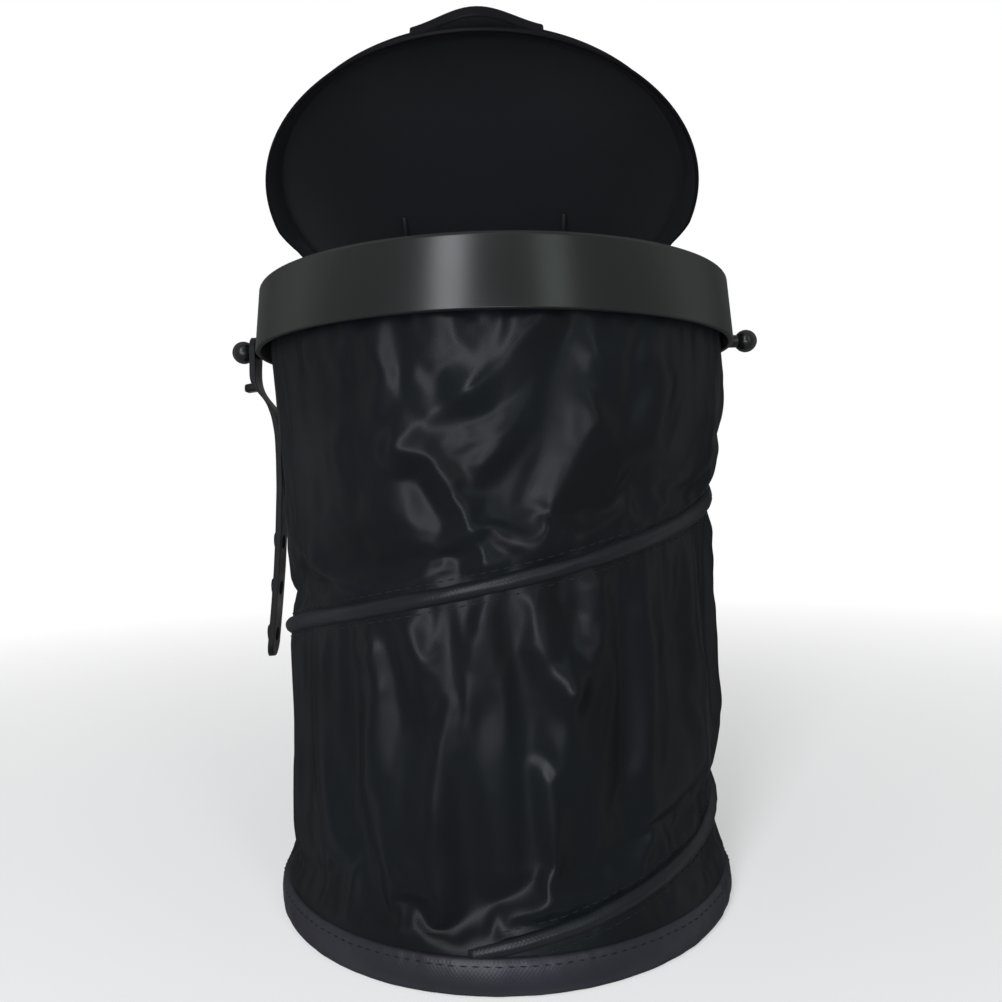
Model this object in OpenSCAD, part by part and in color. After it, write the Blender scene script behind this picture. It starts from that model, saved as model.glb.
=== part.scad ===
// Pop-up car trash bin: a fabric drum on a spiral spring wire, with a moulded
// collar, a hinged lid and a rubber hanging strap. Millimetres, +Z up, the
// floor at z = 0, the drum's axis on z and the front on -Y.

/* [Collar] */
// Outer radius of the collar at its lower edge
collar_r = 85; // [80:0.5:95]
// Height of the collar's wall
collar_h = 22; // [20:0.5:30]
// Height of the collar's lower edge above the floor
collar_z = 192; // [175:1:215]
// How much smaller the radius is at the top edge
collar_taper = 1.8; // [1.2:0.1:3]
// Wall thickness of the collar
collar_wall = 1.9; // [1.6:0.1:2.5]
// Thickness of the flange round the mouth
flange_t = 2.2; // [1.6:0.1:3]
// Width of the flange, from the top edge in to the mouth
flange_w = 5.7; // [5.5:0.1:8]
// Rounding of the collar's top edge
collar_round = 1.6; // [0.8:0.1:2]
// Height of the deeper seat that takes the upper hem
seat_h = 13; // [12.5:0.5:16]
// Clearance of the upper hem in the collar's seat
seat_fit = 0.1; // [0.05:0.05:0.2]

/* [Clamp ring] */
// Wall thickness of the clamp ring
clamp_wall = 2; // [1.4:0.1:2.6]
// Length of the clamp ring's wall below the flange
clamp_h = 13; // [11:0.5:16]
// Thickness of the clamp ring's rim, which is let into the flange
clamp_rim_t = 1; // [0.8:0.1:1.6]
// How far the rim covers the flange
clamp_rim_w = 1.2; // [0.8:0.1:1.6]
// Clearance of the clamp ring in the mouth
clamp_fit = 0.1; // [0.05:0.05:0.2]

/* [Lid] */
// How far the lid's rim lies inside the collar's top edge
lid_inset = 4.2; // [3.5:0.1:4.5]
// How much smaller the lid's radius is at its shoulder
lid_taper = 3.3; // [2:0.1:4]
// Depth of the lid's skirt, from its rim to its shoulder
lid_h = 8; // [7:0.5:11]
// Thickness of the lid's skirt
lid_wall = 1.8; // [1.4:0.1:2.4]
// Thickness of the lid's plate
lid_plate = 2; // [1.6:0.1:2.6]
// Rise of the crowned plate at its middle
lid_crown = 2; // [1:0.1:4]
// Rounding of the lid's shoulder
lid_round = 2.4; // [1.6:0.1:3]
// How far the lid stands open at rest, in degrees
lid_open = 23; // [0:0.5:80]
// Gap between the lid's plate and the ears and lugs under it
barrel_gap = 0.4; // [0.3:0.05:0.6]
// Sideways play of the lid on its pin, taken up to the left
lid_play = 3; // [0.3:0.1:3.5]
// Gap between the closed lid and the collar, and sideways beside each lug
lid_gap = 0.2; // [0.1:0.05:0.5]
// Width of the finger tab
tab_w = 40; // [24:1:44]
// How far the finger tab stands out
tab_out = 4; // [3:0.25:6]
// Thickness of the finger tab
tab_t = 4; // [3:0.25:5]
// Distance of each stiffening rib from the lid's middle
rib_x = 31; // [27:0.5:36]
// Thickness of a stiffening rib
rib_t = 1.4; // [1:0.1:2]
// Depth of a stiffening rib under the plate
rib_h = 2.6; // [2:0.1:3.4]
// Length of a stiffening rib, from the hinge forwards
rib_len = 71; // [50:1:90]

/* [Hinge] */
// Radius of the hinge pin
pin_r = 1.25; // [1:0.05:1.5]
// Clearance round the pin in the collar's ears
ear_fit = 0.02; // [0.01:0.01:0.05]
// Clearance round the pin in the lid's lugs
lug_fit = 0.08; // [0.05:0.01:0.1]
// Radius of the ears and lugs round the pin
barrel_r = 3.2; // [2.9:0.1:3.4]
// Width of a lid lug
lug_w = 5; // [4:0.25:6]
// Thickness of a collar ear
ear_t = 3; // [2.5:0.1:4]
// Height of the pin above the collar's top
pin_rise = 2.8; // [2.3:0.1:3.2]
// How far the pin lies inside the collar's top edge at the rear
pin_inset = 3.2; // [3:0.1:4]
// How far the pin stands out of the outer ears
pin_stub = 1.2; // [0.6:0.1:2]

/* [Knobs] */
// Height of the knobs' axis above the collar's lower edge
knob_rise = 3.4; // [3.2:0.1:5]
// Radius of a knob's neck
neck_r = 2.3; // [2:0.1:2.6]
// Length of a knob's neck
neck_len = 4.6; // [4.2:0.1:6]
// Radius of a knob's round head
head_r = 4.1; // [3.6:0.1:5]

/* [Strap] */
// Width of the rubber strap
strap_w = 10; // [9:0.5:12]
// Thickness of the rubber strap
strap_t = 2; // [1.6:0.1:2.2]
// Clearance of the strap's eye on the knob's neck
eye_fit = 0.3; // [0.2:0.05:0.5]
// Radius of the button holes
hole_r = 2.5; // [2:0.1:3]
// Height of the raised rim round a button hole
rim_h = 0.7; // [0.5:0.1:1]
// Width of the raised rim round a button hole
rim_w = 1.4; // [1:0.1:1.8]
// Distance between the button holes
hole_pitch = 17; // [14:0.5:19]
// Length of the strap below the knob's axis
strap_len = 112; // [106:1:112]

/* [Fabric] */
// Wall thickness of the fabric drum
cloth_t = 0.8; // [0.6:0.05:1]
// How far the drum's foot lies inside the collar's lower edge
drum_in = 5.8; // [3:0.1:8]
// Gap between the drum's top edge and the collar's seat wall
drum_top_gap = 0.9; // [0.7:0.1:1.5]
// How much of the drum's slack between its ends is drawn in
slack = 1; // [0.6:0.05:1.2]
// How strongly the folds stand out
fold_strength = 1; // [0.4:0.05:1.3]
// Outer radius of the casing round the spring wire
casing_r = 2.7; // [2.3:0.1:3.2]
// Radius of the tunnel inside the casing
tunnel_r = 1.25; // [1.1:0.05:1.6]
// How deep the casing's middle lies under the drum's surface
casing_sink = 0.8; // [0.4:0.1:1.5]

/* [Base] */
// How far the base hem stands out past the drum
hem_out = 1.5; // [1:0.1:3]
// Height of the base hem
hem_h = 11.5; // [10.5:0.5:14]
// Thickness of the base hem from its outside to the base panel
hem_t = 6; // [5.4:0.1:8]
// Thickness of the fabric base panel
panel_t = 1; // [0.6:0.1:1.6]
// Thickness of the stiffening board
board_t = 2; // [1.2:0.1:3]
// Gap between the board's edge and the base hem
board_gap = 1; // [0.3:0.1:1.2]

/* [Wire] */
// Radius of the spring wire and of both hoops
wire_r = 0.9; // [0.7:0.05:1]
// Clearance round each hoop in its hem
hoop_fit = 0.1; // [0.05:0.05:0.2]
// Spacing of the two wires in a crimped ferrule
crimp_gap = 2.6; // [2.4:0.1:3]
// Wall thickness of a ferrule
crimp_wall = 0.5; // [0.4:0.05:0.6]
// Length of a ferrule
crimp_len = 8; // [6:0.5:8]
// Clearance of the wires in a ferrule
crimp_fit = 0.2; // [0.15:0.05:0.25]

/* [Hidden] */
plastic = [0.17, 0.175, 0.175];
cloth = [0.11, 0.12, 0.13];
steel = [0.7, 0.71, 0.72];
rubber = [0.09, 0.09, 0.09];
round_fn = 180;
eps = 0.01;

// Collar: radii from its lower edge to its mouth
collar_top = collar_z + collar_h;
top_r = collar_r - collar_taper;
flange_z = collar_top - flange_t;
seat_r = top_r - collar_wall;
lower_bore_r = collar_r - collar_wall;
seat_z = collar_top - seat_h;
mouth_r = top_r - flange_w;

// Clamp ring: a close fit in the mouth
clamp_r = mouth_r - clamp_fit;
rebate_r = mouth_r + clamp_rim_w;
rebate_z = collar_top - clamp_rim_t;

// Hinge: the pin's axis, and the ears on both sides of each lug
pin_y = top_r - pin_inset;
pin_z = collar_top + pin_rise;
ear_gap = lug_w + 2 * (lid_play + lid_gap);
ear_drop = 5;
ear_foot = 1;
pin_half = rib_x + ear_gap / 2 + ear_t + pin_stub;

// Lid, drawn shut: its rim's height, and its edge
rim_z = collar_top + lid_gap;
lid_r = top_r - lid_inset;
shoulder_r = lid_r - lid_taper;
shoulder_z = rim_z + lid_h;
lug_root_y = sqrt(pow(shoulder_r - lid_round, 2) - pow(rib_x + lug_w / 2, 2));
rear_lip_h = 3.6;
skirt_end_y = 8;
skirt_ramp = 16;

// Knobs, and the strap's place on the left one
knob_z = collar_z + knob_rise;
wall_x = collar_r - collar_taper * knob_rise / collar_h;

// Fabric drum, from the top of the base hem to the collar's seat
drum_base_r = collar_r - drum_in;
hem_seam = 0.3;
drum_z = hem_h;
drum_top_z = seat_z - hem_seam;
drum_h = drum_top_z - drum_z;
drum_top_r = seat_r - drum_top_gap;

// Upper hem in the collar's seat, and its hoop
top_hem_z = seat_z;
top_hem_r = seat_r - seat_fit;
top_hem_in = mouth_r;
top_hoop_r = (top_hem_r + top_hem_in) / 2;
top_hoop_z = seat_z + seat_h * 0.42;

// Radius of a ferrule's round ends
crimp_r = wire_r + crimp_fit + crimp_wall;

// Base hem round the base hoop
base_r = drum_base_r + hem_out;
base_in = base_r - hem_t;
base_hoop_r = base_in + hem_t * 0.57;
base_hoop_z = hem_h * 0.35;
// Outer face of the base hem from its foot up, as [share of hem_out in, share of hem_h up]
HEM_EDGE = [[1.7, 0], [0.9, 0.04], [0.3, 0.15], [0, 0.31], [0, 0.5], [0.2, 0.7], [0.6, 0.89],
            [0.95, 1]];

// Slack of the drum at the right and the left, as [share of height, mm]
SLACK_RIGHT = [[0, 0], [0.024, 1.9], [0.06, 3.6], [0.114, 4.8], [0.15, 5], [0.21, 3.5],
               [0.26, 2.5], [0.3, 2.6], [0.35, 3.6], [0.48, 3.8], [0.56, 4.7], [0.67, 5.1],
               [0.71, 4.5], [0.75, 3.1], [0.8, 1.9], [0.85, 0.9], [0.92, 0.2], [1, 0]];
SLACK_LEFT = [[0, 0.6], [0.024, 1.5], [0.15, 1.9], [0.21, 3.1], [0.25, 4.2], [0.37, 4.6],
              [0.44, 3.8], [0.48, 4.6], [0.58, 4.7], [0.71, 4.5], [0.8, 3.6], [0.87, 2.4],
              [0.95, 1.2], [1, 0.4]];

// Height of the spring wire as a share of the drum's height, by degrees of turn, and
// the turns at which it leaves the base hoop, swings out to the upper one and rises to it
WIRE_LEVEL = [[-118, -0.04], [-98, 0], [-88, 0.015], [-72, 0.036], [-55, 0.064], [0, 0.135],
              [90, 0.285], [180, 0.436], [270, 0.552], [360, 0.695], [450, 0.848],
              [515, 0.958], [532, 0.988]];
wire_start = -133;
wire_leave = -118;
lift_turn = 20;
swing_turn = 45;
wire_swing = 521;
wire_rise = 530;
wire_end = 549;
casing_start = -98;
casing_end = wire_swing - 2;
hem_window = 12;
turn_step = 6;

// Folds of the drum: each a line of [angle, share of height], its half width and height in mm
FOLDS = [
    [[[255, 0.965], [266, 0.935], [280, 0.955]], 7, 2.2],
    [[[279, 0.945], [271, 0.88], [265, 0.845]], 7, 2.2],
    [[[265, 0.845], [258, 0.82], [249, 0.765]], 6.5, 2.2],
    [[[249, 0.765], [257, 0.748], [262, 0.68], [266, 0.61], [268, 0.57]], 6.5, 3],
    [[[253, 0.73], [258, 0.66]], 4, -1.2], [[[264, 0.777], [272, 0.783], [267, 0.739]], 5, 1.6],
    [[[291, 0.8], [286, 0.737], [282, 0.677], [279, 0.6]], 7, 3],
    [[[291, 0.9], [306, 0.895], [311, 0.855], [306, 0.78]], 7.5, 2.4],
    [[[222, 0.94], [230, 0.92], [236, 0.885]], 7, 1.6],
    [[[241, 0.93], [248, 0.88], [244, 0.82]], 7, 1.6],
    [[[232, 0.75], [239, 0.7], [246, 0.675]], 8, 1.5],
    [[[220, 0.585], [232, 0.55], [243, 0.53]], 6, 2], [[[286, 0.61], [300, 0.655]], 5, 1.6],
    [[[238, 0.475], [241, 0.388], [239, 0.324], [237, 0.243]], 6, 2.2],
    [[[247, 0.505], [255, 0.424], [259, 0.38], [256, 0.288], [253, 0.149], [255, 0.05]], 8, 3],
    [[[267, 0.54], [264, 0.456], [262, 0.351], [266, 0.24], [268, 0.12]], 6, 2],
    [[[276, 0.555], [279, 0.453], [284, 0.4]], 6.5, 2.6],
    [[[291, 0.58], [294, 0.492], [291, 0.432], [285, 0.385]], 6.5, 2.6],
    [[[285, 0.395], [283, 0.316], [281, 0.257], [281, 0.151], [278, 0.06]], 7.5, 3],
    [[[325, 0.56], [321, 0.47], [330, 0.358]], 6, 1.8],
    [[[326, 0.296], [328, 0.188], [322, 0.09]], 6.5, 1.4],
    [[[305, 0.5], [308, 0.4], [305, 0.25]], 7, 1.6], [[[222, 0.42], [220, 0.3], [225, 0.14]], 7, 1.4],
    [[[345, 0.62], [341, 0.5], [347, 0.3]], 7, 1.8], [[[350, 0.9], [344, 0.8], [349, 0.7]], 7, 1.4],
    [[[8, 0.58], [4, 0.42], [9, 0.24]], 7, 1.8], [[[10, 0.9], [16, 0.82], [13, 0.75]], 7, 1.6],
    [[[18, 0.64], [24, 0.5], [20, 0.36]], 7, 2.2], [[[30, 0.46], [36, 0.3], [33, 0.18]], 7, 1.8],
    [[[34, 0.66], [38, 0.56], [46, 0.5]], 6, 1.8], [[[38, 0.96], [44, 0.88], [40, 0.82]], 7, 1.8],
    [[[52, 0.7], [50, 0.58], [57, 0.42]], 7, 2.4], [[[64, 0.6], [61, 0.44], [66, 0.3]], 6.5, 1.8],
    [[[66, 0.97], [72, 0.92], [68, 0.87]], 6.5, 1.6], [[[73, 0.76], [76, 0.62], [71, 0.5]], 7, 2.2],
    [[[84, 0.72], [89, 0.55], [86, 0.36]], 7.5, 2.6], [[[74, 0.2], [78, 0.1]], 6, 1.2],
    [[[99, 0.78], [96, 0.66], [101, 0.56]], 6, 1.8], [[[98, 0.24], [102, 0.14], [99, 0.05]], 6.5, 1.6],
    [[[108, 0.84], [113, 0.68], [109, 0.48]], 7.5, 2.4], [[[122, 0.6], [118, 0.5], [124, 0.4]], 6.5, 1.8],
    [[[118, 0.29], [114, 0.18], [119, 0.06]], 7, 1.8], [[[127, 0.88], [124, 0.76], [131, 0.66]], 7, 2],
    [[[140, 0.8], [145, 0.62], [141, 0.46]], 7.5, 2.2], [[[138, 0.32], [142, 0.2], [139, 0.07]], 7, 1.8],
    [[[156, 0.84], [152, 0.7], [158, 0.56]], 7, 1.6], [[[156, 0.36], [153, 0.24], [157, 0.1]], 6.5, 1.6],
    [[[170, 0.38], [173, 0.22], [169, 0.08]], 6, 1], [[[188, 0.4], [186, 0.26], [190, 0.1]], 6.5, 1.2],
    [[[204, 0.44], [207, 0.3], [203, 0.12]], 7, 1.8], [[[202, 0.92], [206, 0.8], [201, 0.68]], 6.5, 1.4]];
// Height over which the folds fade out towards the casing that they are sewn to
fold_fade_h = 9;
fold_columns = 92;
fold_rows = 30;

// Strap centre line as [out from the knob's neck, down from the knob's axis], by hand
STRAP_PATH = [[0, -5.2], [0, 3], [0.2, 7.4], [0.1, 11], [-0.9, 13.8], [-3, 16.6],
              [-5.8, 20], [-7.5, 25], [-8.4, 31], [-8.6, 39], [-8.5, 50], [-7.7, 66],
              [-6.7, 80], [-5.3, 94], [-3.3, strap_len]];
strap_x = wall_x + neck_len - strap_t / 2 - eye_fit;
eye_r = strap_w / 2 + 0.4;
tail_w = strap_w * 0.6;
tail_out = 4;
tail_h = 3;
tail_down = 14.2;
hole_count = 3;
hole_last = strap_len - 8;

// Lines below work out the drum's surface and the wire's route

function share(z) = (z - drum_z) / drum_h;
function blend(a, b, t) = a + (b - a) * t;

// Smooth radius of the drum, drawn in between its ends
function smooth_r(a, u) =
    blend(drum_base_r, drum_top_r, max(0, min(1, u)))
    - slack * blend(lookup(u, SLACK_LEFT), lookup(u, SLACK_RIGHT), (1 + cos(a)) / 2);

// Distance of a point from one straight piece of a fold, in mm on the drum's surface
function near_angle(a) = a - 360 * floor((a + 180) / 360);
function step_gap(from, to, a, u) =
    let (mm = drum_base_r * PI / 180,
         p = [near_angle(a - from[0]) * mm, (u - from[1]) * drum_h],
         d = [(to[0] - from[0]) * mm, (to[1] - from[1]) * drum_h],
         t = max(0, min(1, (p * d) / (d * d))))
    norm(p - t * d);
function fold_gap(line, a, u) =
    min([for (i = [0:len(line) - 2]) step_gap(line[i], line[i + 1], a, u)]);
// A fold's height at a point: a crease with straight flanks, rounded a little at its crest
function crease(reach) = pow(max(0, 1.08 - norm([0.8 * reach, 0.08])), 1.25);
function fold_list(a, u) = [for (f = FOLDS) f[2] * crease(fold_gap(f[0], a, u) / f[1])];
function sum(v) = v * [for (i = v) 1];
function edge_fade(u) = min(1, u * 14, (1 - u) * 14);
function seam_fade(a, u) =
    min([1, for (turn = [a - 360, a, a + 360]) if (turn > casing_start && turn < casing_end)
        abs(u - lookup(turn, WIRE_LEVEL)) * drum_h / fold_fade_h]);
function drum_r(a, u) =
    smooth_r(a, u) + fold_strength * edge_fade(u) * seam_fade(a, u) * sum(fold_list(a, u));
function polar(r, a, z) = [r * cos(a), r * sin(a), z];

// Route of the spring wire, from the base hoop's ferrule to the upper one
function wire_z(a) =
    a > wire_rise ? blend(drum_z + drum_h * lookup(wire_rise, WIRE_LEVEL),
                          top_hoop_z - crimp_gap, min(1, (a - wire_rise) / 7))
                  : a < wire_leave ? base_hoop_z
                  : blend(base_hoop_z, drum_z + drum_h * lookup(a, WIRE_LEVEL),
                          min(1, (a - wire_leave) / lift_turn));
function wire_rad(a) =
    let (body = smooth_r(a, share(wire_z(a))) - casing_sink,
         foot = base_hoop_r - crimp_gap)
    a < wire_leave + swing_turn ? blend(foot, body, max(0, (a - wire_leave) / swing_turn))
            : a > wire_swing ? blend(body, top_hoop_r, min(1, (a - wire_swing) / 16)) : body;
function route(a) = polar(wire_rad(a), a, wire_z(a));
function angles(a, b, step) =
    let (n = ceil((b - a) / step)) [for (i = [0:n]) a + (b - a) * i / n];

// One ring of a tube: across the route at angle a, in a radial plane
function tube_ring(a, r, sides) =
    let (c = route(a))
    [for (k = [0:sides - 1])
        c + polar(r * cos(360 * k / sides), a, 0) + [0, 0, r * sin(360 * k / sides)]];
// Faces of a skin of rings, closed round each ring, from point number s on
function skin(s, rings, sides, flip) =
    [for (i = [0:rings - 2]) for (k = [0:sides - 1])
        for (face = [[i * sides + k, i * sides + (k + 1) % sides, (i + 1) * sides + k],
                     [i * sides + (k + 1) % sides, (i + 1) * sides + (k + 1) % sides,
                      (i + 1) * sides + k]])
            flip ? [s + face[2], s + face[1], s + face[0]]
                 : [s + face[0], s + face[1], s + face[2]]];
// Faces that join two matching rings, an outer one from a on and an inner one from b on
function washer(a, b, sides, flip) =
    [for (k = [0:sides - 1])
        for (face = [[a + k, b + k, a + (k + 1) % sides],
                     [b + k, b + (k + 1) % sides, a + (k + 1) % sides]])
            flip ? [face[2], face[1], face[0]] : face];

// A hollow or solid tube along the wire's route
module route_tube(from, to, outer, inner, sides) {
    turns = angles(from, to, turn_step);
    n = len(turns);
    outside = [for (a = turns) each tube_ring(a, outer, sides)];
    inside = inner > 0 ? [for (a = turns) each tube_ring(a, inner, sides)] : [];
    m = n * sides;
    last = (n - 1) * sides;
    ends = inner > 0
        ? concat(washer(0, m, sides, false), washer(last, m + last, sides, true),
                 skin(m, n, sides, true))
        : [[for (k = [0:sides - 1]) sides - 1 - k], [for (k = [0:sides - 1]) last + k]];
    polyhedron(concat(outside, inside), concat(skin(0, n, sides, false), ends));
}

// Brings what is drawn on a closed lid to the lid's place at rest
module lid_place() {
    translate([-lid_play, pin_y, pin_z]) rotate([-lid_open, 0, 0]) translate([0, -pin_y, -pin_z])
        children();
}

// A flat shape in the Y-Z plane, given thickness t about x = x0
module side_plate(x0, t) {
    translate([x0 - t / 2, 0, 0]) rotate([90, 0, 90]) linear_extrude(t) children();
}

// A hoop of wire lying flat
module hoop(r, z, thick) {
    translate([0, 0, z]) rotate_extrude($fn = round_fn)
        translate([r, 0]) circle(thick, $fn = 24);
}

// One ear of the hinge, rooted in the collar's seat wall and flange
module ear(x0) {
    foot_r = seat_r - ear_foot;
    foot_y = sqrt(foot_r * foot_r - x0 * x0);
    difference() {
        union() {
            side_plate(x0, ear_t) translate([pin_y, pin_z]) circle(barrel_r, $fn = 48);
            side_plate(x0, ear_t)
                polygon([[foot_y, flange_z - ear_drop],
                         [pin_y + barrel_r * cos(30), pin_z - barrel_r * sin(30)],
                         [pin_y - barrel_r * sin(30), pin_z + barrel_r * cos(30)],
                         [foot_y, collar_top]]);
        }
        translate([0, 0, collar_z]) cylinder(flange_z - collar_z + eps, r = seat_r, $fn = round_fn);
        translate([0, 0, collar_top])
            cylinder(barrel_r * 3, r = clamp_r + clamp_rim_w + lid_gap, $fn = round_fn);
        translate([x0 - ear_t, pin_y, pin_z]) rotate([0, 90, 0])
            cylinder(ear_t * 2, r = pin_r + ear_fit, $fn = 64);
    }
}

// A knob for the strap: a flared neck and a round head, turned about the X axis
module knob() {
    root = collar_wall * 0.6;
    head_z = neck_len + head_r * 0.75;
    arc = [for (a = [-asin(0.75):5.4:90]) [head_r * cos(a), head_z + head_r * sin(a)]];
    translate([wall_x, 0, knob_z]) rotate([0, 90, 0]) rotate_extrude($fn = 48)
        polygon(concat([[0, -root], [neck_r + 0.8, -root], [neck_r + 0.8, 0.1], [neck_r, 0.9],
                        [neck_r, neck_len]], arc, [[0, head_z + head_r]]));
}

// Moulded collar with the hinge's ears and both knobs
module collar() {
    color(plastic) {
        rotate_extrude($fn = round_fn) {
            polygon([[lower_bore_r + 0.6, collar_z], [collar_r - 0.5, collar_z],
                     [collar_r, collar_z + 0.5], [top_r, collar_top - collar_round],
                     [top_r - collar_round, collar_top], [rebate_r, collar_top],
                     [rebate_r, rebate_z], [mouth_r, rebate_z],
                     [mouth_r, flange_z], [seat_r, flange_z], [seat_r, seat_z],
                     [lower_bore_r, seat_z - 2], [lower_bore_r, collar_z + 0.6]]);
            intersection() {
                translate([top_r - collar_round, collar_top - collar_round])
                    circle(collar_round, $fn = 48);
                translate([top_r - collar_round, collar_top - collar_round]) square(collar_round);
            }
        }
        for (x = [-rib_x, rib_x]) for (s = [-1, 1]) ear(x + s * (ear_gap + ear_t) / 2);
        for (side = [0, 180]) rotate([0, 0, side]) knob();
    }
}

// Ring pushed in from above, which grips the upper hem against the collar's seat
module clamp_ring() {
    rim_r = clamp_r + clamp_rim_w;
    top = collar_top - clamp_fit;
    color(plastic) rotate_extrude($fn = round_fn)
        polygon([[clamp_r - clamp_wall, collar_top - clamp_h], [clamp_r - 0.6, collar_top - clamp_h],
                 [clamp_r, collar_top - clamp_h + 1.2], [clamp_r, rebate_z], [rim_r, rebate_z],
                 [rim_r, top], [clamp_r - clamp_wall + 0.8, top], [clamp_r - clamp_wall, top - 0.8]]);
}

// Crowned plate and skirt of the lid, drawn shut, as half a section
module lid_section() {
    flat_r = shoulder_r - lid_round;
    inner_r = lid_r - lid_wall;
    under_r = shoulder_r - lid_wall;
    steps = 10;
    crown = [for (i = [0:steps])
        let (r = flat_r * (1 - i / steps)) [r, shoulder_z + lid_crown * (1 - pow(r / flat_r, 2))]];
    under = [for (i = [0:steps])
        let (r = (under_r - 1.2) * i / steps)
            [r, shoulder_z - lid_plate + lid_crown * (1 - pow(r / under_r, 2))]];
    polygon(concat([[lid_r - 0.4, rim_z], [lid_r, rim_z + 0.4],
                    [shoulder_r, shoulder_z - lid_round]],
                   crown, under,
                   [[under_r, shoulder_z - lid_plate - 1.2], [inner_r, rim_z + 0.3],
                    [inner_r + 0.3, rim_z]]));
    intersection() {
        translate([flat_r, shoulder_z - lid_round]) circle(lid_round, $fn = 64);
        translate([flat_r - 0.5, shoulder_z - lid_round]) square(lid_round + 1);
    }
}

// Finger tab: a smooth hump on the lid's front edge
module tab() {
    steps = 24;
    middle_z = shoulder_z - lid_round;
    tab_r = lid_r - lid_taper * (middle_z - rim_z) / lid_h;
    hump = [for (i = [0:steps])
        let (x = tab_w * (i / steps - 0.5), out = tab_out * pow(cos(180 * x / tab_w), 2))
            [x, -sqrt(tab_r * tab_r - x * x) - out]];
    back = [for (i = [0:steps])
        let (x = tab_w * (0.5 - i / steps)) [x, lid_wall * 0.6 - sqrt(tab_r * tab_r - x * x)]];
    translate([0, 0, middle_z - tab_t / 2]) linear_extrude(tab_t)
        polygon(concat(hump, back));
}

// Lug and stiffening rib on one side of the lid, drawn shut
module lug(x0) {
    plate_z = shoulder_z - lid_plate;
    difference() {
        union() {
            side_plate(x0, lug_w) translate([pin_y, pin_z]) circle(barrel_r, $fn = 48);
            side_plate(x0, lug_w)
                polygon([[pin_y + barrel_r * sin(30), pin_z + barrel_r * cos(30)],
                         [pin_y - barrel_r * cos(30), pin_z - barrel_r * sin(30)],
                         [lug_root_y - 3, plate_z - rib_h * 0.5],
                         [lug_root_y - 6, plate_z + 0.6],
                         [lug_root_y, plate_z + lid_plate * 0.75]]);
            side_plate(x0, rib_t)
                polygon([[pin_y - barrel_r - 4, plate_z - rib_h], [pin_y - barrel_r - 4, plate_z + 0.6],
                         [pin_y - rib_len, plate_z + lid_crown * 0.9 + 0.4],
                         [pin_y - rib_len, plate_z + lid_crown * 0.4],
                         [pin_y - rib_len + 6, plate_z + lid_crown * 0.6 - rib_h * 0.8]]);
        }
        translate([x0 - lug_w, pin_y, pin_z]) rotate([0, 90, 0])
            cylinder(lug_w * 2, r = pin_r + lug_fit, $fn = 64);
    }
}

// Round lid with a skirt that is cut back towards the hinge
module lid() {
    color(plastic) lid_place() {
        difference() {
            rotate_extrude($fn = round_fn) lid_section();
            side_plate(0, lid_r * 3)
                polygon([[skirt_end_y, rim_z - 1], [skirt_end_y, rim_z],
                         [skirt_end_y + skirt_ramp, rim_z + rear_lip_h],
                         [lid_r * 2, rim_z + rear_lip_h], [lid_r * 2, rim_z - 1]]);
            translate([-lid_r, pin_y, pin_z]) rotate([0, 90, 0])
                cylinder(lid_r * 2, r = barrel_r + barrel_gap, $fn = 64);
        }
        tab();
        for (x = [-rib_x, rib_x]) lug(x);
    }
}

// Steel pin through the ears and the lugs
module hinge_pin() {
    color(steel) translate([-pin_half, pin_y, pin_z]) rotate([0, 90, 0])
        cylinder(pin_half * 2, r = pin_r, $fn = 64);
}

// Fabric drum with the folds that hang from the casing and crease under the collar
module drum_fabric() {
    columns = [for (i = [0:fold_columns - 1]) 360 * i / fold_columns];
    rows = [for (j = [0:fold_rows]) j / fold_rows];
    outside = [for (u = rows) for (a = columns) polar(drum_r(a, u), a, drum_z + u * drum_h)];
    inside = [for (u = rows) for (a = columns)
        polar(drum_r(a, u) - cloth_t, a, drum_z + u * drum_h)];
    n = fold_rows + 1;
    m = n * fold_columns;
    last = fold_rows * fold_columns;
    color(cloth) polyhedron(
        concat(outside, inside),
        concat(skin(0, n, fold_columns, true), skin(m, n, fold_columns, false),
               washer(0, m, fold_columns, true), washer(last, m + last, fold_columns, false)));
}

// Sewn tunnel that winds up the drum round the spring wire
module wire_casing() {
    color(cloth) route_tube(casing_start, casing_end, casing_r, tunnel_r, 8);
}

module spring_wire() {
    color(steel) route_tube(wire_start, wire_end, wire_r, 0, 8);
}

module top_hoop() {
    color(steel) hoop(top_hoop_r, top_hoop_z, wire_r);
}

module base_hoop() {
    color(steel) hoop(base_hoop_r, base_hoop_z, wire_r);
}

// Upper hem, open underneath where the spring wire comes in
module top_hem() {
    window = wire_end - wire_rise + hem_window + 2;
    color(cloth) difference() {
        translate([0, 0, top_hem_z]) rotate_extrude($fn = round_fn)
            polygon([[top_hem_in, 0], [top_hem_r, 0], [top_hem_r, flange_z - top_hem_z],
                     [top_hem_in, flange_z - top_hem_z]]);
        hoop(top_hoop_r, top_hoop_z, wire_r + hoop_fit);
        rotate([0, 0, wire_rise - hem_window]) translate([0, 0, top_hem_z - 1])
            rotate_extrude(angle = window, $fn = round_fn)
                translate([top_hem_in - 1, 0])
                    square([top_hem_r - top_hem_in + 2, top_hoop_z - top_hem_z + 1 + crimp_r + crimp_fit]);
    }
}

// Rolled hem round the base hoop
module base_hem() {
    color(cloth) difference() {
        rotate_extrude($fn = round_fn)
            polygon(concat([[base_in, 0]],
                           [for (p = HEM_EDGE) [base_r - p[0] * hem_out, p[1] * hem_h]],
                           [[base_in + 1.8, hem_h], [base_in + 0.6, hem_h - 1.4],
                            [base_in, hem_h - 3.5]]));
        hoop(base_hoop_r, base_hoop_z, wire_r + hoop_fit);
        lower_crimp_place() crimp_tube(crimp_len + 4 * hoop_fit) crimp_outline(crimp_r + hoop_fit);
    }
}

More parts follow.
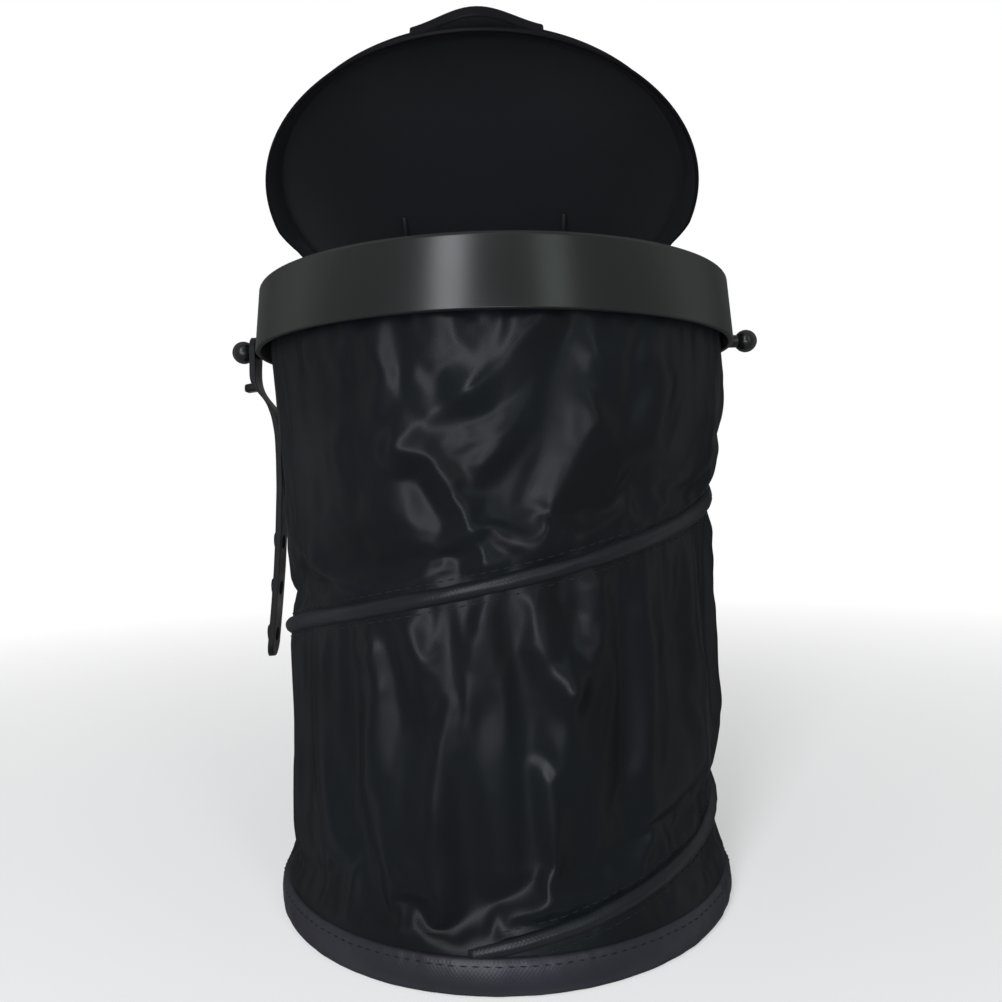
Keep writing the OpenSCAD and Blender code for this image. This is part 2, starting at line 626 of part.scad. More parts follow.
// Flat oval of radius r round two wires that lie side by side along X
module crimp_outline(r) {
    square([crimp_gap, 2 * r], center = true);
    for (s = [-1, 1]) translate([s * crimp_gap / 2, 0]) circle(r, $fn = 32);
}

module crimp_tube(length) {
    translate([0, length / 2, 0]) rotate([90, 0, 0]) linear_extrude(length) children();
}

module ferrule() {
    crimp_tube(crimp_len) difference() {
        crimp_outline(crimp_r);
        for (s = [-1, 1]) translate([s * crimp_gap / 2, 0]) circle(wire_r + crimp_fit, $fn = 32);
        square([crimp_gap, wire_r], center = true);
    }
}

// Places a ferrule across the base hoop and the wire's first straight step
module lower_crimp_place() {
    rotate([0, 0, wire_start + turn_step / 2]) translate([base_hoop_r - crimp_gap / 2, 0, base_hoop_z])
        children();
}

module lower_ferrule() {
    color(steel) lower_crimp_place() ferrule();
}

module upper_ferrule() {
    color(steel) rotate([0, 0, wire_end - turn_step / 2])
        translate([top_hoop_r, 0, top_hoop_z - crimp_gap / 2]) rotate([0, 90, 0]) ferrule();
}

module base_panel() {
    color(cloth) cylinder(panel_t, r = base_in, $fn = round_fn);
}

module base_board() {
    color(plastic) translate([0, 0, panel_t])
        cylinder(board_t, r = base_in - board_gap, $fn = round_fn);
}

// Strap: a point on its centre line, and its direction there, by point number
function strap_point(i) = [-(strap_x + STRAP_PATH[i][0]), knob_z - STRAP_PATH[i][1]];
function strap_dir(i) =
    let (last = len(STRAP_PATH) - 1,
         d = strap_point(min(last, i + 1)) - strap_point(max(0, i - 1)))
    d / norm(d);
function strap_side(i, s) =
    let (d = strap_dir(i)) strap_point(i) + s * strap_t / 2 * [-d[1], d[0]];
// Where the centre line lies at a distance down from the knob
function strap_at(down) =
    -(strap_x + lookup(down, [for (p = STRAP_PATH) [p[1], p[0]]]));
function strap_tilt(down) = atan2(strap_at(down + 3) - strap_at(down - 3), 6);

module strap() {
    last = len(STRAP_PATH) - 1;
    color(rubber) difference() {
        union() {
            intersection() {
                translate([0, strap_w, 0]) rotate([90, 0, 0]) linear_extrude(strap_w * 2)
                    polygon(concat([for (i = [0:last]) strap_side(i, 1)],
                                   [for (i = [0:last]) strap_side(last - i, -1)]));
                translate([-strap_x * 2, 0, knob_z]) rotate([90, 0, 90]) linear_extrude(strap_x * 2) {
                    circle(eye_r, $fn = 48);
                    translate([-strap_w / 2, -strap_len + strap_w / 2])
                        square([strap_w, strap_len - strap_w / 2]);
                    translate([0, -strap_len + strap_w / 2]) circle(strap_w / 2, $fn = 48);
                }
            }
            translate([-strap_x - tail_out, -tail_w / 2, knob_z - tail_down])
                cube([tail_out + strap_t * 0.3, tail_w, tail_h]);
            for (i = [0:hole_count - 1]) button_hole(i) cylinder(strap_t / 2 + rim_h,
                                                     r = hole_r + rim_w, $fn = 48);
        }
        translate([-strap_x - strap_t * 2, 0, knob_z]) rotate([0, 90, 0])
            cylinder(strap_t * 4, r = neck_r + eye_fit, $fn = 48);
        for (i = [0:hole_count - 1]) button_hole(i) translate([0, 0, -strap_t * 2])
            cylinder(strap_t * 4, r = hole_r, $fn = 48);
    }
}

// Puts a child's Z axis along button hole i, pointing away from the drum
module button_hole(i) {
    down = hole_last - i * hole_pitch;
    translate([strap_at(down), 0, knob_z - down]) rotate([0, -90 - strap_tilt(down), 0])
        children();
}

collar();
clamp_ring();
lid();
hinge_pin();
drum_fabric();
wire_casing();
spring_wire();
top_hoop();
base_hoop();
top_hem();
base_hem();
base_panel();
base_board();
upper_ferrule();
lower_ferrule();
strap();
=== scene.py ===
# Pop-up car trash bin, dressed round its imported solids: fabric drum on a spiral
# wire, moulded collar and lid, rubber strap. Metres, +Z up, the front on -Y.
import math

import bpy
import numpy
from mathutils import Matrix, Vector, noise


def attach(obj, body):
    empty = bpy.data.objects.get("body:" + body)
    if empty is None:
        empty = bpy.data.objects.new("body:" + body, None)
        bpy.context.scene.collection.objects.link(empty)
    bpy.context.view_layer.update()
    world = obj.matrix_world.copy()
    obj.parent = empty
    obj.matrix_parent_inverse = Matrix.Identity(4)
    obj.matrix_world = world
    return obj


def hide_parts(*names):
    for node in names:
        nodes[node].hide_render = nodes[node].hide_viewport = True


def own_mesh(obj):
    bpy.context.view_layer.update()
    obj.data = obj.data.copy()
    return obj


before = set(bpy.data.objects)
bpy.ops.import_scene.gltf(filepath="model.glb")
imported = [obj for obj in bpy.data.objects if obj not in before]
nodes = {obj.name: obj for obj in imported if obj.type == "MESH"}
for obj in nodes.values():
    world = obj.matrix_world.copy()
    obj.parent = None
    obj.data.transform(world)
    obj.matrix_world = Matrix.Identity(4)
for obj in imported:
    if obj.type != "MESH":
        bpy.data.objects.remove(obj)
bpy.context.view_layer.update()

milli = 0.001
cos30, sin30 = math.cos(math.pi / 6), math.sin(math.pi / 6)


# Small tools that every piece uses

def deselectAll():
    if bpy.context.mode != "OBJECT":
        bpy.ops.object.mode_set(mode="OBJECT")
    bpy.ops.object.select_all(action="DESELECT")


def pick(*pieces):
    deselectAll()
    for piece in pieces:
        piece.select_set(True)
    bpy.context.view_layer.objects.active = pieces[0]


def newPiece(name):
    piece = bpy.context.active_object
    piece.name = name
    piece.data.name = name
    return piece


def settle(piece):
    # the object ends at the origin, unturned and unscaled, with its place in its mesh
    pick(piece)
    bpy.ops.object.transform_apply(location=True, rotation=True, scale=True)
    return piece


def editAll(piece):
    pick(piece)
    bpy.ops.object.mode_set(mode="EDIT")
    bpy.ops.mesh.select_all(action="SELECT")


def tidyFaces(piece, mergeAt=1e-6):
    editAll(piece)
    bpy.ops.mesh.remove_doubles(threshold=mergeAt)
    bpy.ops.mesh.normals_make_consistent(inside=False)
    bpy.ops.object.mode_set(mode="OBJECT")


def smooth(piece, angle=35):
    pick(piece)
    bpy.ops.object.shade_smooth_by_angle(angle=math.radians(angle))


def useModifier(piece, kind, **settings):
    pick(piece)
    modifier = piece.modifiers.new(kind.title(), kind)
    for name, value in settings.items():
        setattr(modifier, name, value)
    bpy.ops.object.modifier_apply(modifier=modifier.name)


def roundEdges(piece, width, segments=2, angle=30):
    useModifier(piece, "BEVEL", width=width, segments=segments, limit_method="ANGLE",
                angle_limit=math.radians(angle), miter_outer="MITER_ARC")


def joinInto(piece, *others):
    pick(piece, *others)
    bpy.ops.object.join()
    return piece


def arc(centre, radius, start, end, steps):
    # points on an arc in a section, from one angle to another in degrees
    return [(centre[0] + radius * math.cos(math.radians(start + (end - start) * i / steps)),
             centre[1] + radius * math.sin(math.radians(start + (end - start) * i / steps)))
            for i in range(steps + 1)]


def drawPath(points):
    # one vertex, extruded from point to point, in edit mode
    bpy.ops.mesh.primitive_plane_add(size=0.001, location=points[0])
    bpy.ops.object.mode_set(mode="EDIT")
    bpy.ops.mesh.select_all(action="SELECT")
    bpy.ops.mesh.merge(type="CENTER")
    for before, after in zip(points, points[1:]):
        step = Vector(after) - Vector(before)
        bpy.ops.mesh.extrude_region_move(TRANSFORM_OT_translate={"value": step})


def turnedPiece(name, section, steps=192, closed=True):
    # a section of (radius, height) points, spun round the Z axis
    points = [(r, 0, z) for r, z in section]
    drawPath(points + points[:1] if closed else points)
    bpy.ops.mesh.select_all(action="SELECT")
    bpy.ops.mesh.spin(steps=steps, angle=math.tau, center=(0, 0, 0), axis=(0, 0, 1))
    bpy.ops.object.mode_set(mode="OBJECT")
    piece = settle(newPiece(name))
    tidyFaces(piece)
    return piece


def extrudedPiece(name, points, move):
    # a closed outline of points, filled and extruded
    drawPath(points + points[:1])
    bpy.ops.mesh.select_all(action="SELECT")
    bpy.ops.mesh.remove_doubles(threshold=1e-6)
    bpy.ops.mesh.edge_face_add()
    bpy.ops.mesh.extrude_region_move(TRANSFORM_OT_translate={"value": move})
    bpy.ops.object.mode_set(mode="OBJECT")
    piece = settle(newPiece(name))
    tidyFaces(piece)
    return piece


def plateX(name, outline, middle, thickness):
    # an outline of (y, z) points, extruded along X to a thickness about its middle
    return extrudedPiece(name, [(middle - thickness / 2, y, z) for y, z in outline],
                         (thickness, 0, 0))


def rodX(name, centre, radius, length, bevel):
    bpy.ops.mesh.primitive_cylinder_add(vertices=48, radius=radius, depth=length,
                                        location=centre, rotation=(0, math.pi / 2, 0))
    piece = settle(newPiece(name))
    roundEdges(piece, bevel)
    return piece


# Materials

def colour(hexValue):
    parts = [int(hexValue[i:i + 2], 16) / 255 for i in (1, 3, 5)]
    return [c / 12.92 if c <= 0.04045 else ((c + 0.055) / 1.055) ** 2.4 for c in parts] + [1]


def addNode(tree, kind, settings=None, links=None):
    node = tree.nodes.new(kind)
    for name, value in (settings or {}).items():
        if isinstance(name, int) or name in node.inputs:
            node.inputs[name].default_value = value
        else:
            setattr(node, name, value)
    for socket, source in (links or {}).items():
        tree.links.new(source, node.inputs[socket])
    return node


def newMaterial(name, **sockets):
    material = bpy.data.materials.new(name)
    material.use_nodes = True
    shader = material.node_tree.nodes["Principled BSDF"]
    for socket, value in sockets.items():
        shader.inputs[socket.replace("_", " ")].default_value = value
    tree = material.node_tree
    return material, tree, shader, addNode(tree, "ShaderNodeTexCoord").outputs["Object"]


def twoTone(tree, shader, factor, dark, light):
    mixed = addNode(tree, "ShaderNodeMix", {"data_type": "RGBA"})
    tree.links.new(factor, mixed.inputs[0])
    mixed.inputs[6].default_value = colour(dark)
    mixed.inputs[7].default_value = colour(light)
    tree.links.new(mixed.outputs[2], shader.inputs["Base Color"])


def spread(tree, source, low, high, fromLow=0.3, fromHigh=0.7):
    return addNode(tree, "ShaderNodeMapRange",
                   {"From Min": fromLow, "From Max": fromHigh, "To Min": low, "To Max": high},
                   {"Value": source}).outputs["Result"]


def satin(tree, shader, pattern, roughness, change, edge):
    # roughness that follows a pattern, and rises where the grain is seen along the surface
    facing = addNode(tree, "ShaderNodeLayerWeight", {"Blend": 0.5}).outputs["Facing"]
    matt = spread(tree, facing, 0, edge, 0.32, 0.7)
    gloss = addNode(tree, "ShaderNodeMath", {"operation": "ADD"},
                    {0: spread(tree, pattern, roughness + change, roughness - change), 1: matt})
    tree.links.new(gloss.outputs[0], shader.inputs["Roughness"])


def mouldedPlastic(name, dark, light, roughness, specular, grainMm, depthMm):
    # Injection-moulded polypropylene: a satin grain from the etched mould, which
    # softens the highlight, and faint flow marks that change the sheen slowly
    material, tree, shader, place = newMaterial(name, IOR=1.49, Specular_IOR_Level=specular)
    grain = addNode(tree, "ShaderNodeTexNoise", {"Scale": 1 / (grainMm * milli), "Detail": 3,
                                                 "Roughness": 0.6}, {"Vector": place})
    flow = addNode(tree, "ShaderNodeTexNoise", {"Scale": 28, "Detail": 2, "Distortion": 0.6},
                   {"Vector": place})
    twoTone(tree, shader, flow.outputs["Fac"], dark, light)
    satin(tree, shader, flow.outputs["Fac"], roughness, 0.03, 0.6)
    bump = addNode(tree, "ShaderNodeBump", {"Strength": 0.35, "Distance": depthMm * milli},
                   {"Height": grain.outputs["Fac"]})
    tree.links.new(bump.outputs["Normal"], shader.inputs["Normal"])
    return material


def wovenCloth(name, dark, light, roughness, specular, threadMm, depthMm, along="UV"):
    # Plain-woven polyester: threads cross over and under, drawn from the piece's UV
    # map, which is in metres of cloth, with a slow change of tone where it was handled.
    # The threads are drawn coarser than the real ones, so that they show
    wearMm = 40
    material, tree, shader, place = newMaterial(name, IOR=1.5, Specular_IOR_Level=specular)
    uv = addNode(tree, "ShaderNodeTexCoord").outputs[along]
    split = addNode(tree, "ShaderNodeSeparateXYZ", None, {"Vector": uv})
    waves = []
    perThread = math.pi / (threadMm * milli)
    for axis in ("X", "Y"):
        turns = addNode(tree, "ShaderNodeMath", {"operation": "MULTIPLY", 1: perThread},
                        {0: split.outputs[axis]})
        waves.append(addNode(tree, "ShaderNodeMath", {"operation": "SINE"}, {0: turns.outputs[0]}))
    weave = addNode(tree, "ShaderNodeMath", {"operation": "MULTIPLY"},
                    {0: waves[0].outputs[0], 1: waves[1].outputs[0]})
    handled = addNode(tree, "ShaderNodeTexNoise", {"Scale": 1 / (wearMm * milli), "Detail": 4,
                                                   "Roughness": 0.55}, {"Vector": place})
    slub = addNode(tree, "ShaderNodeTexNoise", {"Scale": 900, "Detail": 2}, {"Vector": place})
    twoTone(tree, shader, spread(tree, handled.outputs["Fac"], 0, 1), dark, light)
    satin(tree, shader, handled.outputs["Fac"], roughness, 0.05, 0.6)
    height = addNode(tree, "ShaderNodeMath", {"operation": "MULTIPLY_ADD", 1: 0.5},
                     {0: weave.outputs[0], 2: slub.outputs["Fac"]})
    bump = addNode(tree, "ShaderNodeBump", {"Strength": 0.5, "Distance": depthMm * milli},
                   {"Height": height.outputs[0]})
    tree.links.new(bump.outputs["Normal"], shader.inputs["Normal"])
    return material


def drawnSteel(name):
    # Drawn spring steel: grey, with fine lines along the wire from the die
    material, tree, shader, place = newMaterial(name, Metallic=1.0)
    streaks = addNode(tree, "ShaderNodeTexNoise", {"Scale": 600, "Detail": 3}, {"Vector": place})
    twoTone(tree, shader, streaks.outputs["Fac"], "#8d8f92", "#a9abad")
    tree.links.new(spread(tree, streaks.outputs["Fac"], 0.28, 0.42), shader.inputs["Roughness"])
    return material


def mouldedRubber(name):
    # Compression-moulded natural rubber: dull black, with a dry bloom on its skin
    material, tree, shader, place = newMaterial(name, IOR=1.52, Specular_IOR_Level=0.06)
    bloom = addNode(tree, "ShaderNodeTexNoise", {"Scale": 140, "Detail": 4}, {"Vector": place})
    twoTone(tree, shader, spread(tree, bloom.outputs["Fac"], 0, 1), "#0a0b0b", "#131414")
    tree.links.new(spread(tree, bloom.outputs["Fac"], 0.46, 0.62), shader.inputs["Roughness"])
    bump = addNode(tree, "ShaderNodeBump", {"Strength": 0.25, "Distance": 0.0001},
                   {"Height": bloom.outputs["Fac"]})
    tree.links.new(bump.outputs["Normal"], shader.inputs["Normal"])
    return material


def spunThread(name):
    # Spun polyester sewing thread: twisted, so each stitch has a soft slanting shine
    material, tree, shader, place = newMaterial(name, Specular_IOR_Level=0.05)
    twist = addNode(tree, "ShaderNodeTexNoise", {"Scale": 1500, "Detail": 1}, {"Vector": place})
    twoTone(tree, shader, twist.outputs["Fac"], "#111316", "#1e2124")
    shader.inputs["Roughness"].default_value = 0.6
    return material


finishes = {
    # name, dark and light colour, roughness, specular level, grain or thread and depth in mm
    "collar": mouldedPlastic("satinPolypropylene", "#0a0b0b", "#0e0f0e", 0.25, 0.175, 0.45,
                             0.015),
    "lid": mouldedPlastic("polishedPolypropylene", "#08080a", "#0c0c0e", 0.42, 0.03, 0.6, 0.01),
    # the lid's underside: its blasted grain is real, its colour lighter than the lid's own is
    # painted light on the shaded side
    "lidInside": mouldedPlastic("blastedPolypropyleneWithPaintedLight", "#121314", "#171718", 0.42, 0.1, 0.4,
                                0.03),
    "drum": wovenCloth("coatedOxfordPolyester", "#08090b", "#0c0f11", 0.33, 0.055, 0.5, 0.03),
    "binding": wovenCloth("polyesterBindingTape", "#0b0d0f", "#121417", 0.34, 0.1, 0.6, 0.05),
    # the hem is the binding tape made lighter and bluer: a painted reflection of the low light in
    # front
    "hem": wovenCloth("rolledPolyesterHemPaintedReflection", "#131318", "#1b1b21", 0.4, 0.15, 0.6, 0.05),
    "panel": wovenCloth("coatedPanelPolyester", "#0c0f11", "#121517", 0.45, 0.1, 0.6, 0.05,
                        "Object"),
    "steel": drawnSteel("drawnSpringSteel"),
    "rubber": mouldedRubber("mouldedRubber"),
    "thread": spunThread("spunPolyesterThread"),
    "board": mouldedPlastic("calenderedPolypropyleneSheet", "#121212", "#181818", 0.5, 0.1, 0.6,
                            0.05),
}


def dress(piece, finish):
    piece.data.materials.clear()
    piece.data.materials.append(finishes[finish])


def hand(piece, body, slot, finish, *replaced):
    # gives a finished piece its material, its body and the solids that it stands for
    dress(piece, finish)
    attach(piece, body)
    if replaced:
        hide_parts(*replaced)


print("stage 1: materials made")

# Collar, with its hinge ears and knobs. Sizes in metres, as in the solid
collar = {
    "radius": 0.085, "bottom": 0.192, "top": 0.214, "taper": 0.0018, "wall": 0.0019,
    "flange": 0.0022, "flangeWidth": 0.0057, "round": 0.0016, "edge": 0.0006, "seat": 0.201,
    "rebate": 0.001, "rebateWidth": 0.0012,
    "knobHeight": 0.1954, "neck": 0.0023, "neckLength": 0.0046, "head": 0.0041, "headSink": 0.75,
}
collar["topRadius"] = collar["radius"] - collar["taper"]
collar["seatRadius"] = collar["topRadius"] - collar["wall"]
collar["mouth"] = collar["topRadius"] - collar["flangeWidth"]

hinge = {
    "y": collar["topRadius"] - 0.0032, "z": collar["top"] + 0.0028, "barrel": 0.0032,
    "lugX": 0.031, "lugWidth": 0.005, "play": 0.003, "gap": 0.0002, "ear": 0.003,
}
hinge["earGap"] = hinge["lugWidth"] + 2 * (hinge["play"] + hinge["gap"])


def collarSection():
    c = collar
    low, top = c["bottom"], c["top"]
    bore = c["radius"] - c["wall"]
    edge = c["edge"]
    section = [(bore + edge * 0.5, low)]
    section += arc((c["radius"] - edge, low + edge), edge, -90, 0, 5)
    section += arc((c["topRadius"] - c["round"], top - c["round"]), c["round"], 4, 90, 8)
    section += [(c["mouth"] + c["rebateWidth"] + 0.0003, top),
                (c["mouth"] + c["rebateWidth"], top - 0.0003),
                (c["mouth"] + c["rebateWidth"], top - c["rebate"]),
                (c["mouth"], top - c["rebate"]), (c["mouth"], top - c["flange"]),
                (c["seatRadius"], top - c["flange"]), (c["seatRadius"], c["seat"]),
                (bore, c["seat"] - 0.002), (bore, low + edge)]
    return section


def ear(x):
    # barrel round the pin, on a web that is rooted in the collar's seat wall
    h = hinge
    foot = math.sqrt((collar["seatRadius"] + 0.0006) ** 2 - x * x)
    web = plateX("earWeb", [
        (foot, collar["top"] - collar["flange"] - 0.001),
        (foot + 0.0012, collar["top"] - 0.005),
        (h["y"] + h["barrel"] * cos30, h["z"] - h["barrel"] * sin30),
        (h["y"] - h["barrel"] * sin30, h["z"] + h["barrel"] * cos30),
        (foot, collar["top"])], x, h["ear"])
    roundEdges(web, 0.0003)
    barrel = rodX("earBarrel", (x, h["y"], h["z"]), h["barrel"], h["ear"], 0.0004)
    return joinInto(barrel, web)


def knob(side):
    # flared neck and round head, turned and then laid along X
    c = collar
    wallX = c["radius"] - c["taper"] * (c["knobHeight"] - c["bottom"]) / (c["top"] - c["bottom"])
    headAt = c["neckLength"] + c["head"] * c["headSink"]
    start = -math.degrees(math.asin(c["headSink"]))
    section = [(0, -0.001), (c["neck"] + 0.0012, -0.001), (c["neck"] + 0.0008, 0.0002),
               (c["neck"] + 0.0003, 0.0006), (c["neck"], 0.0012), (c["neck"], c["neckLength"])]
    section += [(max(r, 0), z) for r, z in arc((0, headAt), c["head"], start, 90, 16)]
    piece = turnedPiece("knob", section, steps=40, closed=False)
    turn = Matrix.Rotation(side * math.pi / 2, 4, "Y")
    piece.data.transform(Matrix.Translation((side * wallX, 0, c["knobHeight"])) @ turn)
    return piece


collarRing = turnedPiece("collarMoulding", collarSection(), steps=256)
extras = [knob(-1), knob(1)]
for lugX in (-hinge["lugX"], hinge["lugX"]):
    for side in (-1, 1):
        extras.append(ear(lugX + side * (hinge["earGap"] + hinge["ear"]) / 2))
joinInto(collarRing, *extras)
smooth(collarRing, 40)
hand(collarRing, "collar", "collar_plastic", "collar", "collar")

clamp = {"radius": collar["mouth"] - 0.0001, "wall": 0.002, "height": 0.013, "rim": 0.0012}


def clampSection():
    r, top = clamp["radius"], collar["top"] - 0.0001
    low = collar["top"] - clamp["height"]
    inner = r - clamp["wall"]
    return ([(inner + 0.0003, low), (r - 0.0006, low), (r, low + 0.0012),
             (r, top - 0.0009), (r + clamp["rim"], top - 0.0009)]
            + arc((r + clamp["rim"] - 0.0004, top - 0.0004), 0.0004, 0, 90, 3)
            + arc((inner + 0.0009, top - 0.0009), 0.0009, 90, 180, 5)
            + [(inner, low + 0.0003)])


clampRing = turnedPiece("clampRing", clampSection(), steps=256)
smooth(clampRing, 40)
hand(clampRing, "collar", "collar_plastic", "collar", "clamp_ring")

print("stage 2: collar and clamp ring made")

# Lid, modelled shut and then turned open about the pin
lid = {
    "radius": collar["topRadius"] - 0.0042, "taper": 0.0033, "rim": collar["top"] + 0.0002,
    "height": 0.008, "wall": 0.0018, "plate": 0.002, "crown": 0.002, "round": 0.0024, "open": 23,
    "skirtEnd": 0.008, "skirtRamp": 0.016, "rearLip": 0.0036,
    "tabWidth": 0.040, "tabOut": 0.004, "tabThick": 0.004,
    "ribThick": 0.0014, "ribDepth": 0.0026, "ribLength": 0.071,
}
lid["shoulder"] = lid["rim"] + lid["height"]
lid["shoulderRadius"] = lid["radius"] - lid["taper"]
lid["flat"] = lid["shoulderRadius"] - lid["round"]
lid["lugRoot"] = math.sqrt(lid["flat"] ** 2 - (hinge["lugX"] + hinge["lugWidth"] / 2) ** 2)
lid["under"] = lid["shoulder"] - lid["plate"]


def lidSection():
    d = lid
    flat = d["flat"]
    inner = d["radius"] - d["wall"]
    innerTop = d["shoulderRadius"] - d["wall"]
    under = [(innerTop * 0.96 * i / 12, d["under"] + d["crown"] * (1 - (0.96 * i / 12) ** 2))
             for i in range(13)]
    corner = arc((innerTop - 0.0012, d["under"] - 0.0012), 0.0012, 80, 0, 4)
    rim = [(inner, d["rim"] + 0.0004), (inner + 0.0004, d["rim"]),
           (d["radius"] - 0.0005, d["rim"]), (d["radius"], d["rim"] + 0.0005)]
    shoulder = arc((flat, d["shoulder"] - d["round"]), d["round"], 0, 84, 8)
    top = [(flat * (1 - i / 12), d["shoulder"] + d["crown"] * (1 - (1 - i / 12) ** 2))
           for i in range(1, 13)]
    return under + corner + rim + shoulder + top


def cutSkirt(piece):
    # the skirt rises behind the middle, so that the lid can swing past the collar
    for vertex in piece.data.vertices:
        x, y, z = vertex.co
        if y > lid["skirtEnd"] and z < lid["rim"] + 0.0007:
            share = min(1, (y - lid["skirtEnd"]) / lid["skirtRamp"])
            vertex.co.z += lid["rearLip"] * share


def cutRelief(piece):
    # room for the barrels of the hinge, cut through the rear lip
    bpy.ops.mesh.primitive_cylinder_add(
        vertices=64, radius=hinge["barrel"] + 0.0004, depth=2 * lid["radius"],
        location=(0, hinge["y"], hinge["z"]), rotation=(0, math.pi / 2, 0))
    cutter = settle(newPiece("reliefCutter"))
    useModifier(piece, "BOOLEAN", object=cutter, operation="DIFFERENCE", solver="EXACT")
    bpy.data.objects.remove(cutter)


def lidTab():
    # finger tab: a smooth hump along the front edge, with all its edges rounded
    d = lid
    steps = 24
    middle = d["shoulder"] - d["round"]
    reach = d["radius"] - d["taper"] * (middle - d["rim"]) / d["height"]
    front, back = [], []
    for i in range(steps + 1):
        x = d["tabWidth"] * (i / steps - 0.5)
        edge = math.sqrt(reach ** 2 - x * x)
        front.append((x, -edge - d["tabOut"] * math.cos(math.pi * x / d["tabWidth"]) ** 2))
        back.append((x, 0.0012 - edge))
    points = [(x, y, middle - d["tabThick"] / 2) for x, y in front + back[::-1]]
    piece = extrudedPiece("tab", points, (0, 0, d["tabThick"]))
    roundEdges(piece, 0.0011, segments=4, angle=50)
    return piece


def lidRib(x):
    d = lid
    back = hinge["y"] - hinge["barrel"] - 0.004
    front = hinge["y"] - d["ribLength"]
    rib = plateX("rib", [(back, d["under"] - d["ribDepth"]), (back, d["under"] + 0.0006),
                         (front, d["under"] + d["crown"] * 0.9 + 0.0004),
                         (front, d["under"] + d["crown"] * 0.4),
                         (front + 0.006, d["under"] + d["crown"] * 0.6 - d["ribDepth"] * 0.8)],
                 x, d["ribThick"])
    roundEdges(rib, 0.00035)
    return rib


def lidLug(x):
    h, d = hinge, lid
    web = plateX("lugWeb", [
        (h["y"] + h["barrel"] * sin30, h["z"] + h["barrel"] * cos30),
        (h["y"] - h["barrel"] * cos30, h["z"] - h["barrel"] * sin30),
        (d["lugRoot"] - 0.003, d["under"] - d["ribDepth"] * 0.5),
        (d["lugRoot"] - 0.006, d["under"] + 0.0006),
        (d["lugRoot"], d["under"] + d["plate"] * 0.75)], x, h["lugWidth"])
    roundEdges(web, 0.0004)
    barrel = rodX("lugBarrel", (x, h["y"], h["z"]), h["barrel"], h["lugWidth"], 0.0004)
    return joinInto(barrel, web)


def openLid(piece):
    pin = Matrix.Translation((-hinge["play"], hinge["y"], hinge["z"]))
    turn = Matrix.Rotation(-math.radians(lid["open"]), 4, "X")
    back = Matrix.Translation((0, -hinge["y"], -hinge["z"]))
    piece.data.transform(pin @ turn @ back)


lidPiece = turnedPiece("lidMoulding", lidSection(), steps=256, closed=False)
cutSkirt(lidPiece)
cutRelief(lidPiece)
tidyFaces(lidPiece)
joinInto(lidPiece, lidTab(), *[lidRib(x) for x in (-hinge["lugX"], hinge["lugX"])],
         *[lidLug(x) for x in (-hinge["lugX"], hinge["lugX"])])
hand(lidPiece, "lid", "lid_plastic", "lid", "lid")
lidPiece.data.materials.append(finishes["lidInside"])
for face in lidPiece.data.polygons:
    # the mould's core side is blasted, its outer side polished; the core side's lighter colour is
    # painted light, standing in for the light that reaches the shaded underside from below
    r = math.hypot(face.center.x, face.center.y)
    outward = face.normal.dot(Vector((face.center.x, face.center.y, 0)).normalized())
    plateMiddle = lid["under"] + lid["crown"] * (1 - (r / lid["flat"]) ** 2) + lid["plate"] * 0.5
    inside = r < lid["radius"] - lid["wall"] * 0.8 and face.center.z < plateMiddle
    if inside and outward < 0.5:
        face.material_index = 1
openLid(lidPiece)
smooth(lidPiece, 40)
print("stage 3: lid made")

# Fabric drum: a sheet wrapped round the spiral wire. Angles in degrees, turning
# from +X over the rear, and heights as a share of the drum's height. The slack is
# (share, mm inwards) on the right and left sides
drum = {
    "footRadius": collar["radius"] - 0.0058, "topRadius": collar["seatRadius"] - 0.0009,
    "low": 0.0115, "high": collar["seat"] - 0.0003,
    "columns": 240, "rows": 92, "seam": 90,
    "slackRight": [(0, 0), (0.024, 1.9), (0.06, 3.6), (0.114, 4.8), (0.15, 5), (0.21, 3.5),
                   (0.26, 2.5), (0.3, 2.6), (0.35, 3.6), (0.48, 3.8), (0.56, 4.7), (0.67, 5.1),
                   (0.71, 4.5), (0.75, 3.1), (0.8, 1.9), (0.85, 0.9), (0.92, 0.2), (1, 0)],
    "slackLeft": [(0, 0.6), (0.024, 1.5), (0.15, 1.9), (0.21, 3.1), (0.25, 4.2), (0.37, 4.6),
                  (0.44, 3.8), (0.48, 4.6), (0.58, 4.7), (0.71, 4.5), (0.8, 3.6), (0.87, 2.4),
                  (0.95, 1.2), (1, 0.4)],
    "puckerMm": 0.5, "crumpleMm": 1.0,
}
drum["height"] = drum["high"] - drum["low"]

wire = {
    "radius": 0.0009, "casing": 0.0027, "sink": 0.0008, "start": -118, "end": 530,
    "casingStart": -98, "casingEnd": 519,
    "footHeight": 0.004, "footRadius": 0.0755, "liftTurn": 20, "swingTurn": 45,
    "level": [(-118, -0.04), (-98, 0), (-88, 0.015), (-72, 0.036), (-55, 0.064), (0, 0.135),
              (90, 0.285), (180, 0.436), (270, 0.552), (360, 0.695), (450, 0.848),
              (515, 0.958), (530, 0.985)],
}
